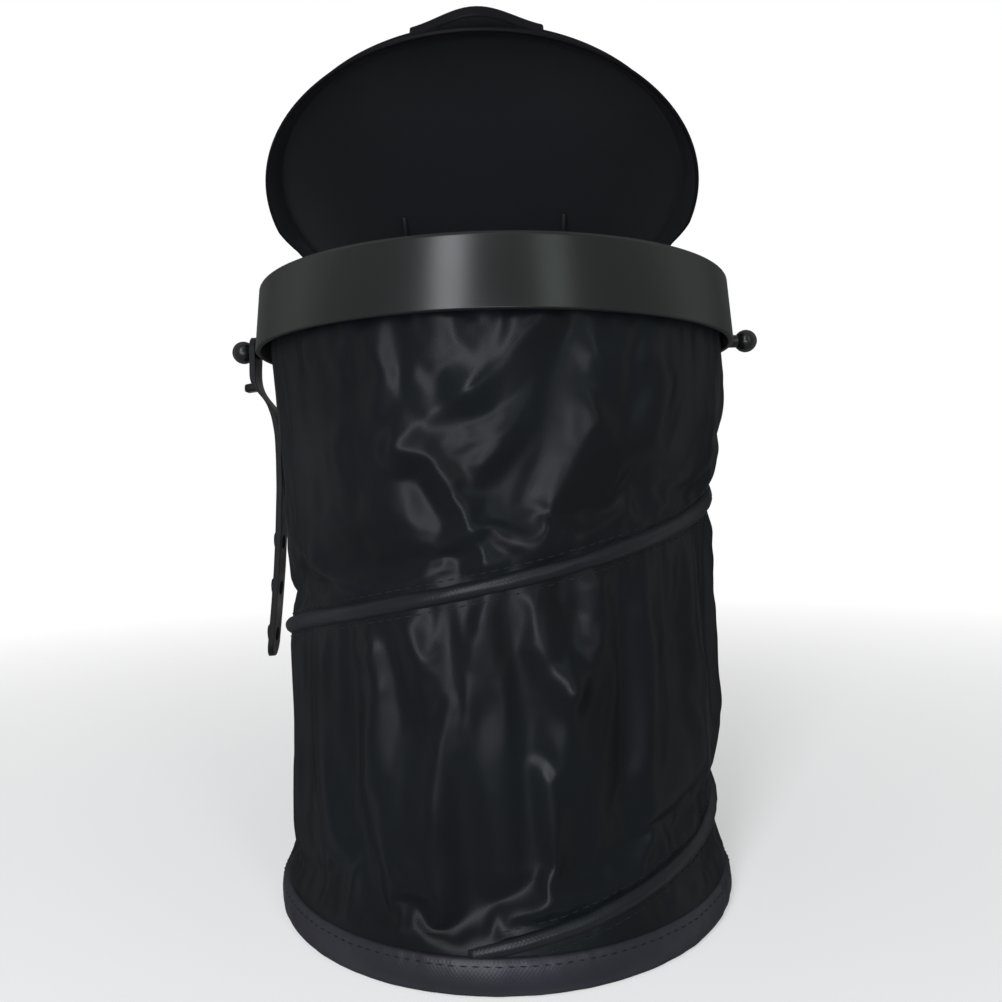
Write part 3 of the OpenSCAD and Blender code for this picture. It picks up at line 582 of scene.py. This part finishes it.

# Folds, each along a line of (angle, share), with its half width and height in mm
folds = [
    ([(255, 0.965), (266, 0.935), (280, 0.955)], 7, 2.2),
    ([(279, 0.945), (271, 0.88), (265, 0.845)], 7, 2.2),
    ([(265, 0.845), (258, 0.82), (249, 0.765)], 6.5, 2.2),
    ([(249, 0.765), (257, 0.748), (262, 0.68), (266, 0.61), (268, 0.57)], 6.5, 3),
    ([(253, 0.73), (258, 0.66)], 4, -1.2), ([(264, 0.777), (272, 0.783), (267, 0.739)], 5, 1.6),
    ([(291, 0.8), (286, 0.737), (282, 0.677), (279, 0.6)], 7, 3),
    ([(291, 0.9), (306, 0.895), (311, 0.855), (306, 0.78)], 7.5, 2.4),
    ([(222, 0.94), (230, 0.92), (236, 0.885)], 7, 1.6),
    ([(241, 0.93), (248, 0.88), (244, 0.82)], 7, 1.6),
    ([(232, 0.75), (239, 0.7), (246, 0.675)], 8, 1.5),
    ([(220, 0.585), (232, 0.55), (243, 0.53)], 6, 2), ([(286, 0.61), (300, 0.655)], 5, 1.6),
    ([(238, 0.475), (241, 0.388), (239, 0.324), (237, 0.243)], 6, 2.2),
    ([(247, 0.505), (255, 0.424), (259, 0.38), (256, 0.288), (253, 0.149), (255, 0.05)], 8, 3),
    ([(267, 0.54), (264, 0.456), (262, 0.351), (266, 0.24), (268, 0.12)], 6, 2),
    ([(276, 0.555), (279, 0.453), (284, 0.4)], 6.5, 2.6),
    ([(291, 0.58), (294, 0.492), (291, 0.432), (285, 0.385)], 6.5, 2.6),
    ([(285, 0.395), (283, 0.316), (281, 0.257), (281, 0.151), (278, 0.06)], 7.5, 3),
    ([(325, 0.56), (321, 0.47), (330, 0.358)], 6, 1.8),
    ([(326, 0.296), (328, 0.188), (322, 0.09)], 6.5, 1.4),
    ([(305, 0.5), (308, 0.4), (305, 0.25)], 7, 1.6),
    ([(222, 0.42), (220, 0.3), (225, 0.14)], 7, 1.4),
    ([(345, 0.62), (341, 0.5), (347, 0.3)], 7, 1.8),
    ([(350, 0.9), (344, 0.8), (349, 0.7)], 7, 1.4),
    ([(8, 0.58), (4, 0.42), (9, 0.24)], 7, 1.8), ([(10, 0.9), (16, 0.82), (13, 0.75)], 7, 1.6),
    ([(18, 0.64), (24, 0.5), (20, 0.36)], 7, 2.2), ([(30, 0.46), (36, 0.3), (33, 0.18)], 7, 1.8),
    ([(34, 0.66), (38, 0.56), (46, 0.5)], 6, 1.8), ([(38, 0.96), (44, 0.88), (40, 0.82)], 7, 1.8),
    ([(52, 0.7), (50, 0.58), (57, 0.42)], 7, 2.4), ([(64, 0.6), (61, 0.44), (66, 0.3)], 6.5, 1.8),
    ([(66, 0.97), (72, 0.92), (68, 0.87)], 6.5, 1.6),
    ([(73, 0.76), (76, 0.62), (71, 0.5)], 7, 2.2),
    ([(84, 0.72), (89, 0.55), (86, 0.36)], 7.5, 2.6), ([(74, 0.2), (78, 0.1)], 6, 1.2),
    ([(99, 0.78), (96, 0.66), (101, 0.56)], 6, 1.8),
    ([(98, 0.24), (102, 0.14), (99, 0.05)], 6.5, 1.6),
    ([(108, 0.84), (113, 0.68), (109, 0.48)], 7.5, 2.4),
    ([(122, 0.6), (118, 0.5), (124, 0.4)], 6.5, 1.8),
    ([(118, 0.29), (114, 0.18), (119, 0.06)], 7, 1.8),
    ([(127, 0.88), (124, 0.76), (131, 0.66)], 7, 2),
    ([(140, 0.8), (145, 0.62), (141, 0.46)], 7.5, 2.2),
    ([(138, 0.32), (142, 0.2), (139, 0.07)], 7, 1.8),
    ([(156, 0.84), (152, 0.7), (158, 0.56)], 7, 1.6),
    ([(156, 0.36), (153, 0.24), (157, 0.1)], 6.5, 1.6),
    ([(170, 0.38), (173, 0.22), (169, 0.08)], 6, 1),
    ([(188, 0.4), (186, 0.26), (190, 0.1)], 6.5, 1.2),
    ([(204, 0.44), (207, 0.3), (203, 0.12)], 7, 1.8),
    ([(202, 0.92), (206, 0.8), (201, 0.68)], 6.5, 1.4),
]


def level(points, value):
    # straight steps between the listed points, eased by averaging over a short stretch
    xs, ys = zip(*points)
    reach = (xs[-1] - xs[0]) * 0.01
    return sum(numpy.interp(value + reach * k, xs, ys) for k in (-2, -1, 0, 1, 2)) / 5


def smoothRadius(angle, share):
    ends = drum["footRadius"] + (drum["topRadius"] - drum["footRadius"]) * numpy.clip(share, 0, 1)
    right = level(drum["slackRight"], share)
    left = level(drum["slackLeft"], share)
    side = (1 + numpy.cos(numpy.radians(angle))) / 2
    return ends - milli * (left + (right - left) * side)


def wireHeight(turn):
    rise = drum["low"] + drum["height"] * level(wire["level"], turn)
    foot = wire["footHeight"]
    return foot + (rise - foot) * numpy.clip((turn - wire["start"]) / wire["liftTurn"], 0, 1)


def wireRadius(turn):
    share = (wireHeight(turn) - drum["low"]) / drum["height"]
    body = smoothRadius(turn, share) - wire["sink"]
    foot = wire["footRadius"]
    return foot + (body - foot) * numpy.clip((turn - wire["start"]) / wire["swingTurn"], 0, 1)


def wirePoint(turn):
    r, z = wireRadius(turn), wireHeight(turn)
    return numpy.stack([r * numpy.cos(numpy.radians(turn)), r * numpy.sin(numpy.radians(turn)), z],
                       axis=-1)


def aboveWire(angle, z):
    # signed height in metres above the nearest turn of the wire
    best = numpy.full_like(z, 1.0)
    for turn in (-360, 0, 360):
        spin = angle + turn
        gap = z - wireHeight(spin)
        gap = numpy.where((spin > wire["casingStart"]) & (spin < wire["end"]), gap, 1.0)
        best = numpy.where(numpy.abs(gap) < numpy.abs(best), gap, best)
    return best


def foldHeights(angle, share):
    # each fold is a ridge with a soft crest, highest along its line and fading past its ends
    perDegree = drum["footRadius"] * math.pi / 180
    total = numpy.zeros_like(angle)
    for line, width, height in folds:
        nearest = numpy.full_like(angle, 1e9)
        for (a0, s0), (a1, s1) in zip(line, line[1:]):
            away = (angle - a0 + 180) % 360 - 180
            px, py = away * perDegree, (share - s0) * drum["height"]
            dx, dy = (a1 - a0) * perDegree, (s1 - s0) * drum["height"]
            t = numpy.clip((px * dx + py * dy) / (dx * dx + dy * dy), 0, 1)
            nearest = numpy.minimum(nearest, numpy.hypot(px - t * dx, py - t * dy))
        reach = nearest / (width * milli)
        crest = 1.08 - numpy.sqrt((reach * 0.8) ** 2 + 0.0064)
        total += height * milli * numpy.clip(crest, 0, None) ** 1.25
    return total


def crumple(points):
    # ridged noise, drawn out along the drum under the wire and more even above it
    out = []
    for x, y, z in points:
        drape = min(1, max(0, (z - 0.085) / 0.05))
        along = 0.42 + 0.3 * drape
        value = 0
        for size, share in ((24, 1.0), (11, 0.42), (5, 0.16)):
            scale = 1 / (size * milli)
            here = Vector((x * scale, y * scale, z * scale * along + size))
            value += share * (0.5 - abs(noise.noise(here)) * 1.8)
        out.append(value)
    return numpy.array(out)


def puckers(angle, z):
    # the seams beside the wire gather the cloth into short ripples across them
    gap = aboveWire(angle, z)
    along = numpy.radians(angle) * drum["footRadius"]
    ripple = numpy.array([noise.noise(Vector((a / 0.0034, g / 0.02, 3.1 if g > 0 else 7.7)))
                          for a, g in zip(along, gap)])
    reach = numpy.clip(numpy.abs(gap) / milli - 2.2, 0, None)
    return ripple * numpy.exp(-(reach / 6.5) ** 2), numpy.exp(-(reach / 3.5) ** 2)


def drumSheet():
    bpy.ops.mesh.primitive_grid_add(x_subdivisions=drum["columns"], y_subdivisions=drum["rows"],
                                    size=1)
    piece = newPiece("drumCloth")
    mesh = piece.data
    flat = numpy.array([v.co for v in mesh.vertices])
    angle = drum["seam"] + 360 * (flat[:, 0] + 0.5)
    share = flat[:, 1] + 0.5
    z = drum["low"] + drum["height"] * share
    base = smoothRadius(angle, share)
    rad = numpy.radians(angle)
    points = numpy.stack([base * numpy.cos(rad), base * numpy.sin(rad), z], axis=-1)
    edge = numpy.clip(numpy.minimum(share, 1 - share) * 16, 0, 1)
    gather, seam = puckers(angle, z)
    lift = foldHeights(angle, share) + milli * (drum["crumpleMm"] * crumple(points) - 0.5)
    radius = base + edge * (1 - 0.75 * seam) * lift
    radius += milli * edge * (drum["puckerMm"] * gather - 0.5 * seam)
    for vertex, r, a, height in zip(mesh.vertices, radius, rad, z):
        vertex.co = (r * math.cos(a), r * math.sin(a), height)
    girth = math.tau * drum["footRadius"]
    for loop in mesh.uv_layers.active.data:
        loop.uv = (loop.uv[0] * girth, loop.uv[1] * drum["height"])
    settle(piece)
    tidyFaces(piece, 1e-5)
    return piece


def slide(piece):
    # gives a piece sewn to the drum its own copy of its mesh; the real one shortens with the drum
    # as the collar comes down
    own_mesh(piece)


cloth = {
    "oversize": 0.014, "bending": 5, "stretch": 25, "shear": 10, "gravity": 0.6, "mass": 0.1,
    "airDamping": 2, "quality": 5, "steps": 24,
    "sewnMm": 2.8, "easeMm": 1.5, "hemShare": 0.012, "hemEase": 0.01, "capMm": 6,
}


def sewnWeights(points):
    # 1 where the cloth is sewn down: to both hems, and to the casing along the wire
    angle = numpy.degrees(numpy.arctan2(points[:, 1], points[:, 0])) % 360
    gap = numpy.abs(aboveWire(angle, points[:, 2])) / milli
    share = (points[:, 2] - drum["low"]) / drum["height"]
    rim = (numpy.minimum(share, 1 - share) - cloth["hemShare"]) / cloth["hemEase"]
    return numpy.clip(numpy.maximum(1 - (gap - cloth["sewnMm"]) / cloth["easeMm"], 1 - rim), 0, 1)


def settleCloth(piece):
    # the cloth is cut a little larger than its frame, so it buckles between its seams
    mesh = piece.data
    before = numpy.array([v.co for v in mesh.vertices])
    sewn = piece.vertex_groups.new(name="sewn")
    for index, weight in enumerate(sewnWeights(before)):
        if weight > 0.01:
            sewn.add([index], float(weight), "REPLACE")
    pick(piece)
    modifier = piece.modifiers.new("Cloth", "CLOTH")
    c = modifier.settings
    c.vertex_group_mass = "sewn"
    c.quality = cloth["quality"]
    c.mass = cloth["mass"]
    c.tension_stiffness = c.compression_stiffness = cloth["stretch"]
    c.shear_stiffness = cloth["shear"]
    c.bending_stiffness = cloth["bending"]
    c.air_damping = cloth["airDamping"]
    c.shrink_min = -cloth["oversize"]
    c.effector_weights.gravity = cloth["gravity"]
    modifier.point_cache.frame_end = cloth["steps"] + 1
    for step in range(1, cloth["steps"] + 1):
        bpy.context.scene.frame_set(step)
    bpy.ops.object.modifier_apply(modifier=modifier.name)
    bpy.context.scene.frame_set(1)
    cap = cloth["capMm"] * milli
    for vertex, old in zip(mesh.vertices, before):
        move = vertex.co - Vector(old)
        if move.length > cap:
            vertex.co = Vector(old) + move.normalized() * cap
    piece.vertex_groups.clear()


drumCloth = drumSheet()
settleCloth(drumCloth)
useModifier(drumCloth, "SUBSURF", levels=1, render_levels=1)
bpy.ops.object.shade_smooth()
hand(drumCloth, "base", "drum_cloth", "drum", "drum_fabric")
print("stage 4: drum sheet made")


def tube(name, turns, radius, sides, bulge=None):
    # a tube along the wire's route, its rings laid square to the route
    centres = wirePoint(turns)
    ahead = numpy.gradient(centres, axis=0)
    ahead /= numpy.linalg.norm(ahead, axis=1)[:, None]
    out = centres * (1, 1, 0)
    out /= numpy.linalg.norm(out, axis=1)[:, None]
    up = numpy.cross(ahead, out)
    up *= numpy.sign(up[:, 2:3])
    up /= numpy.linalg.norm(up, axis=1)[:, None]
    bpy.ops.mesh.primitive_grid_add(x_subdivisions=len(turns) - 1, y_subdivisions=sides, size=1)
    piece = newPiece(name)
    for vertex in piece.data.vertices:
        ring = round((vertex.co.x + 0.5) * (len(turns) - 1))
        around = math.tau * (vertex.co.y + 0.5)
        r = radius + (bulge(ring, around) if bulge else 0)
        spoke = math.cos(around) * out[ring] + math.sin(around) * up[ring]
        vertex.co = centres[ring] + r * spoke
    length = float(numpy.linalg.norm(numpy.diff(centres, axis=0), axis=1).sum())
    for loop in piece.data.uv_layers.active.data:
        loop.uv = (loop.uv[0] * length, loop.uv[1] * math.tau * radius)
    settle(piece)
    tidyFaces(piece, 1e-6)
    pick(piece)
    bpy.ops.object.mode_set(mode="EDIT")
    bpy.ops.mesh.select_all(action="DESELECT")
    bpy.ops.mesh.select_non_manifold()
    bpy.ops.mesh.fill()
    bpy.ops.mesh.select_all(action="SELECT")
    bpy.ops.mesh.normals_make_consistent(inside=False)
    bpy.ops.object.mode_set(mode="OBJECT")
    bpy.ops.object.shade_smooth()
    return piece


def casingBulge(ring, around):
    # the tape lies unevenly on the wire between its stitches
    slow = noise.noise(Vector((ring * 0.11, math.cos(around) * 0.8, math.sin(around) * 0.8)))
    fine = noise.noise(Vector((ring * 0.55, math.cos(around) * 1.6, 5 + math.sin(around) * 1.6)))
    return milli * (0.22 * slow + 0.16 * fine)


casingTurns = numpy.linspace(wire["casingStart"], wire["casingEnd"], 560)
casing = tube("wireCasing", casingTurns, wire["casing"] - 0.0001, 18, casingBulge)
hand(casing, "base", "binding_cloth", "binding", "wire_casing")
slide(casing)

wireTurns = numpy.linspace(wire["start"], wire["end"], 420)
springWire = tube("springWire", wireTurns, wire["radius"], 10)
hand(springWire, "base", "steel", "steel", "spring_wire")
slide(springWire)
print("stage 5: casing and wire made")


def stitch(length, thick):
    # one stitch: a short round-ended rod along X, which is copied along each seam
    bpy.ops.mesh.primitive_cylinder_add(vertices=6, radius=thick / 2, depth=length,
                                        rotation=(0, math.pi / 2, 0))
    piece = settle(newPiece("stitch"))
    editAll(piece)
    bpy.ops.mesh.bisect(plane_co=(0, 0, 0), plane_no=(1, 0, 0))
    bpy.ops.object.mode_set(mode="OBJECT")
    for vertex in piece.data.vertices:
        end = abs(vertex.co.x) / (length / 2)
        vertex.co.z -= thick * 0.7 * end ** 2
        if end > 0.9:
            vertex.co.y *= 0.55
    return piece


def sewRow(name, places, length, thick):
    # copies the stitch to each (place, along, out) and joins them as one thread
    source = stitch(length, thick)
    copies = []
    for place, along, out in places:
        x = Vector(along).normalized()
        z = (Vector(out) - x * Vector(out).dot(x)).normalized()
        turn = Matrix((x, z.cross(x), z)).transposed().to_4x4()
        copy = source.copy()
        copy.data = source.data.copy()
        copy.data.transform(Matrix.Translation(Vector(place)) @ turn)
        bpy.context.scene.collection.objects.link(copy)
        copies.append(copy)
    bpy.data.objects.remove(source)
    row = joinInto(*copies)
    row.name = row.data.name = name
    smooth(row, 60)
    return row


def surfaceFinder(piece):
    # rays from outside towards the axis, to lay stitches on a finished surface
    def find(angle, z, reach=0.1):
        a = math.radians(angle)
        outward = Vector((math.cos(a), math.sin(a), 0))
        hit, place, normal, face = piece.ray_cast(outward * reach + Vector((0, 0, z)), -outward)
        return (place, normal if normal.dot(outward) > 0 else -normal) if hit else (None, None)
    return find


seam = {"pitch": 0.0034, "length": 0.0024, "thick": 0.00042, "offset": 0.0041,
        "startAfter": 8, "endBefore": 30}


def casingStitches(side):
    find = surfaceFinder(drumCloth)
    perTurn = math.radians(1) * drum["footRadius"]
    step = seam["pitch"] / perTurn
    places = []
    turn = wire["casingStart"] + seam["startAfter"]
    while turn < wire["casingEnd"] - seam["endBefore"]:
        here = float(wireHeight(numpy.array(turn))) + side * seam["offset"]
        ahead = float(wireHeight(numpy.array(turn + 1))) + side * seam["offset"]
        place, normal = find(turn, here)
        further, other = find(turn + 1, ahead)
        if place is not None and further is not None and here < drum["high"] - 0.002:
            places.append((place + normal * 0.0001, further - place, normal))
        turn += step
    return sewRow("casingStitches" + ("Above" if side > 0 else "Below"), places,
                  seam["length"], seam["thick"])


for side in (-1, 1):
    row = casingStitches(side)
    hand(row, "base", "binding_cloth", "thread")
    slide(row)
slide(drumCloth)
print("stage 6: stitches made")

# Base hem: a rolled tape round the base hoop, puckered along its top edge
hem = {
    "radius": drum["footRadius"] + 0.0015, "height": 0.0115, "thick": 0.006,
    "columns": 360, "puckerMm": 0.35,
    "face": [(1.7, 0), (0.9, 0.04), (0.3, 0.15), (0, 0.31), (0, 0.5), (0.2, 0.7), (0.6, 0.89),
             (0.95, 1)],
}


def hemSection():
    r, out, high = hem["radius"], 0.0015, hem["height"]
    inner = r - hem["thick"]
    face = [(r - p * out, q * high) for p, q in hem["face"]]
    return ([(inner, 0)] + face
            + [(inner + 0.0018, high), (inner + 0.0006, high - 0.0014), (inner, high - 0.0035)])


def ruffleHem(piece):
    for vertex in piece.data.vertices:
        x, y, z = vertex.co
        r = math.hypot(x, y)
        if z < 0.0003 or r < hem["radius"] - 0.004:
            continue
        angle = math.atan2(y, x)
        top = min(1, z / hem["height"])
        ring = Vector((math.cos(angle) * 14, math.sin(angle) * 14, z * 60))
        fine = Vector((math.cos(angle) * 22, math.sin(angle) * 22, 5 + z * 90))
        push = milli * (0.25 * noise.noise(ring)
                        + hem["puckerMm"] * top ** 3 * noise.noise(fine * 1.2))
        vertex.co.x += push * math.cos(angle)
        vertex.co.y += push * math.sin(angle)


baseHem = turnedPiece("baseHem", hemSection(), steps=hem["columns"])
useModifier(baseHem, "SUBSURF", levels=1, render_levels=1)
ruffleHem(baseHem)


def wrapUv(piece):
    # cloth UVs in metres: round the ring, and down its outside
    layer = piece.data.uv_layers.active or piece.data.uv_layers.new(name="cloth")
    for face in piece.data.polygons:
        middle = math.atan2(face.center.y, face.center.x)
        for index in face.loop_indices:
            x, y, z = piece.data.vertices[piece.data.loops[index].vertex_index].co
            turn = (math.atan2(y, x) - middle + math.pi) % math.tau - math.pi + middle
            layer.data[index].uv = (turn * hem["radius"], z + math.hypot(x, y) - hem["radius"])


wrapUv(baseHem)
smooth(baseHem, 60)
hand(baseHem, "base", "binding_cloth", "hem", "base_hem")


def hemStitches():
    find = surfaceFinder(baseHem)
    count = round(math.tau * hem["radius"] / seam["pitch"])
    places = []
    height = hem["height"] - 0.0022
    for i in range(count):
        place, normal = find(360 * i / count, height)
        further, other = find(360 * i / count + 1, height)
        if place is not None and further is not None:
            places.append((place + normal * 0.0001, further - place, normal))
    return sewRow("hemStitches", places, seam["length"], seam["thick"])


hand(hemStitches(), "base", "binding_cloth", "thread")
print("stage 7: base hem made")

# Rubber strap on the left knob. The path is [out from the knob's neck, down from its axis], in mm
strap = {
    "width": 0.010, "thick": 0.002, "length": 0.112, "eye": 0.0054, "eyeHole": 0.0026,
    "x": 0.08802, "z": collar["knobHeight"], "hole": 0.0025, "holes": (0.070, 0.087, 0.104),
    "rimHeight": 0.0007, "rimWidth": 0.0014, "splitAt": 0.008,
    "path": [(0, -5.4), (0, 3), (0.2, 7.4), (0.1, 11), (-0.9, 13.8), (-3, 16.6), (-5.8, 20),
             (-7.5, 25), (-8.4, 31), (-8.6, 39), (-8.5, 50), (-7.7, 66), (-6.7, 80), (-5.3, 94),
             (-3.3, 112)],
}


def strapLine(down):
    # the strap's middle and its outward direction, at a distance down from the knob
    outs, downs = zip(*strap["path"])
    near = [numpy.interp(down / milli + k, downs, outs) for k in (-1.6, -0.8, 0, 0.8, 1.6)]
    slope = (near[4] - near[0]) / 3.2
    out = sum(near) / 5
    outward = Vector((-1, 0, -slope)).normalized()
    return Vector((-(strap["x"] + out * milli), 0, strap["z"] - down)), outward


def strapFrame(down):
    # turns a piece made along Z to stand square on the strap
    middle, outward = strapLine(down)
    return Matrix.Translation(middle) @ outward.to_track_quat("Z", "Y").to_matrix().to_4x4()


def strapHalfWidth(down):
    s = strap
    if down < 0:
        return math.sqrt(max(0, s["eye"] ** 2 - down ** 2))
    if down > s["length"] - s["width"] / 2:
        past = down - (s["length"] - s["width"] / 2)
        return math.sqrt(max(0, (s["width"] / 2) ** 2 - past ** 2))
    ease = min(1, down / 0.006)
    return s["eye"] + (s["width"] / 2 - s["eye"]) * ease


def drillStrap(piece, down, radius):
    bpy.ops.mesh.primitive_cylinder_add(vertices=40, radius=radius, depth=0.02)
    drill = settle(newPiece("drill"))
    drill.data.transform(strapFrame(down))
    useModifier(piece, "BOOLEAN", object=drill, operation="DIFFERENCE", solver="EXACT")
    bpy.data.objects.remove(drill)


def holeRim(down):
    s = strap
    inner, outer = s["hole"], s["hole"] + s["rimWidth"]
    low, high = s["thick"] * 0.4, s["thick"] / 2 + s["rimHeight"]
    section = ([(inner, low), (outer, low)]
               + arc((outer - 0.0004, high - 0.0004), 0.0004, 0, 90, 3)
               + arc((inner + 0.0004, high - 0.0004), 0.0004, 90, 180, 3))
    rim = turnedPiece("holeRim", section, steps=40)
    rim.data.transform(strapFrame(down))
    return rim


def strapPiece():
    s = strap
    rows = 96
    bpy.ops.mesh.primitive_grid_add(x_subdivisions=8, y_subdivisions=rows, size=1)
    piece = newPiece("strap")
    for vertex in piece.data.vertices:
        share = vertex.co.y + 0.5
        down = -s["eye"] + (s["length"] + s["eye"]) * (0.5 - 0.5 * math.cos(math.pi * share))
        down = min(max(down, -s["eye"] + 0.0001), s["length"] - 0.0001)
        vertex.co = (2 * vertex.co.x * strapHalfWidth(down), down, 0)
    settle(piece)
    useModifier(piece, "SOLIDIFY", thickness=s["thick"], offset=0)
    roundEdges(piece, 0.0004, segments=3, angle=40)
    for vertex in piece.data.vertices:
        y, down, t = vertex.co
        middle, outward = strapLine(down)
        vertex.co = middle + outward * t + Vector((0, y, 0))
    tidyFaces(piece)
    drillStrap(piece, 0, s["eyeHole"])
    for down in s["holes"]:
        drillStrap(piece, down, s["hole"])
    joinInto(piece, thumbNub(), *[holeRim(down) for down in s["holes"]])
    smooth(piece, 40)
    return piece


def thumbNub():
    # short tongue under the knob's head, for pulling the eye over it
    bpy.ops.mesh.primitive_cube_add(
        size=1, scale=(0.0046, 0.006, 0.003),
        location=(-strap["x"] - 0.0017, 0, strap["z"] - 0.0127))
    piece = settle(newPiece("thumbNub"))
    for vertex in piece.data.vertices:
        if vertex.co.x < -strap["x"] - 0.002:
            vertex.co.z -= 0.0006
            vertex.co.y *= 0.8
    roundEdges(piece, 0.0009, segments=4)
    return piece


def keepPart(piece, height, above):
    editAll(piece)
    bpy.ops.mesh.bisect(plane_co=(0, 0, height), plane_no=(0, 0, 1), use_fill=False,
                        clear_inner=above, clear_outer=not above)
    bpy.ops.object.mode_set(mode="OBJECT")


strapTail = strapPiece()
strapEye = strapTail.copy()
strapEye.data = strapTail.data.copy()
bpy.context.scene.collection.objects.link(strapEye)
strapEye.name = strapEye.data.name = "strapEye"
strapTail.name = strapTail.data.name = "strapTail"
splitHeight = strap["z"] - strap["splitAt"]
keepPart(strapEye, splitHeight, True)
keepPart(strapTail, splitHeight, False)
for part in (strapEye, strapTail):
    hand(part, "strap", "rubber", "rubber", "strap")
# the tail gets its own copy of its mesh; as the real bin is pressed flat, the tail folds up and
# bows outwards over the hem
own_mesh(strapTail)
print("stage 8: strap made")

# Solids that keep their own shape and get their real finish
kept = {
    "hinge_pin": "steel", "top_hoop": "steel", "base_hoop": "steel", "upper_ferrule": "steel",
    "lower_ferrule": "steel", "base_board": "board", "base_panel": "panel", "top_hem": "panel",
}
for name, finish in kept.items():
    dress(nodes[name], finish)

print("stage 9: finishes given")

# Floor, light and camera
stage = {
    "floorSize": 8.0, "floorColour": "#f4f4f3", "fadeFrom": 0.1, "fadeTo": 0.8,
    "nearGlow": 0.45, "fill": (0.15, 0.155, 0.16, 1),
}


def whitePath(tree):
    path = addNode(tree, "ShaderNodeLightPath")
    first = addNode(tree, "ShaderNodeMath", {"operation": "MAXIMUM"},
                    {0: path.outputs["Is Camera Ray"], 1: path.outputs["Is Glossy Ray"]})
    return addNode(tree, "ShaderNodeMath", {"operation": "MAXIMUM"},
                   {0: first.outputs[0], 1: path.outputs["Is Transmission Ray"]}).outputs[0]


def floorMaterial():
    # Matt painted board: near the bin it takes the shadow, further out it fades to white
    material, tree, shader, place = newMaterial("mattPaintedBoard", Roughness=0.9,
                                                Specular_IOR_Level=0.1)
    shader.inputs["Base Color"].default_value = colour(stage["floorColour"])
    away = addNode(tree, "ShaderNodeVectorMath", {"operation": "LENGTH"}, {0: place})
    fade = spread(tree, away.outputs["Value"], stage["nearGlow"], 1, stage["fadeFrom"],
                  stage["fadeTo"])
    both = addNode(tree, "ShaderNodeMath", {"operation": "MULTIPLY"},
                   {0: fade, 1: whitePath(tree)})
    glow = addNode(tree, "ShaderNodeEmission", {"Color": (1, 1, 1, 1), "Strength": 1.0})
    mix = addNode(tree, "ShaderNodeMixShader", None,
                  {0: both.outputs[0], 1: shader.outputs[0], 2: glow.outputs[0]})
    tree.links.new(mix.outputs[0], tree.nodes["Material Output"].inputs["Surface"])
    return material


bpy.ops.mesh.primitive_plane_add(size=stage["floorSize"], location=(0, 0, -0.00005))
floor = settle(newPiece("floorBoard"))
floor.data.materials.append(floorMaterial())

world = bpy.data.worlds.new("studio")
bpy.context.scene.world = world
world.use_nodes = True
air = world.node_tree
fill = addNode(air, "ShaderNodeMix", {"data_type": "RGBA"})
air.links.new(whitePath(air), fill.inputs[0])
fill.inputs[6].default_value = stage["fill"]
fill.inputs[7].default_value = (1, 1, 1, 1)
air.links.new(fill.outputs[2], air.nodes["Background"].inputs["Color"])

aimHere = (0, 0, 0.15)
lamps = {
    # mouthGlow stands in for the light that the collar throws up on the lid.
    # name: distance, degrees to the right of the front, height, width, length, power,
    # colour, aimed at
    "keyWindow": (1.0, -18.6, 0.46, 0.22, 0.95, 12.0, "#f8f9ff", aimHere),
    "sideWindow": (1.1, 26.3, 0.46, 0.22, 0.95, 3.2, "#e4f4e8", aimHere),
    "topPanel": (0.9, 0, 1.25, 0.7, 0.5, 1.2, "#ffffff", aimHere),
    "lowCard": (0.62, -6, 0.05, 0.36, 0.16, 2.4, "#eeeeff", aimHere),
    "mouthGlow": (0.01, 0, 0.19, 0.1, 0.03, 0.045, "#e8f0ff", (0, 0.07, 0.235)),
}
for name, (away, turn, height, width, length, power, tint, target) in lamps.items():
    bpy.ops.object.light_add(type="AREA")
    lamp = bpy.context.active_object
    lamp.name = name
    lamp.data.shape = "RECTANGLE"
    lamp.data.size, lamp.data.size_y = width, length
    lamp.data.energy = power
    lamp.data.color = colour(tint)[:3]
    angle = math.radians(turn)
    lamp.location = (away * math.sin(angle), -away * math.cos(angle), height)
    aim = Vector(target) - lamp.location
    lamp.rotation_euler = aim.to_track_quat("-Z", "Y").to_euler()

shot = {"place": (0.001, -0.322, 0.143), "focalPx": 872, "framePx": 1002, "down": 0.78,
        "lean": -1.35}
bpy.ops.object.camera_add()
camera = bpy.context.active_object
camera.data.sensor_width = 36
camera.data.lens = 36 * shot["focalPx"] / shot["framePx"]
camera.data.clip_start = 0.01
camera.matrix_world = (Matrix.Translation(shot["place"])
                       @ Matrix.Rotation(math.radians(90 - shot["down"]), 4, "X")
                       @ Matrix.Rotation(math.radians(shot["lean"]), 4, "Z"))
bpy.context.scene.camera = camera
bpy.context.scene.view_settings.view_transform = "Standard"
print("stage 10: floor, light and camera set")
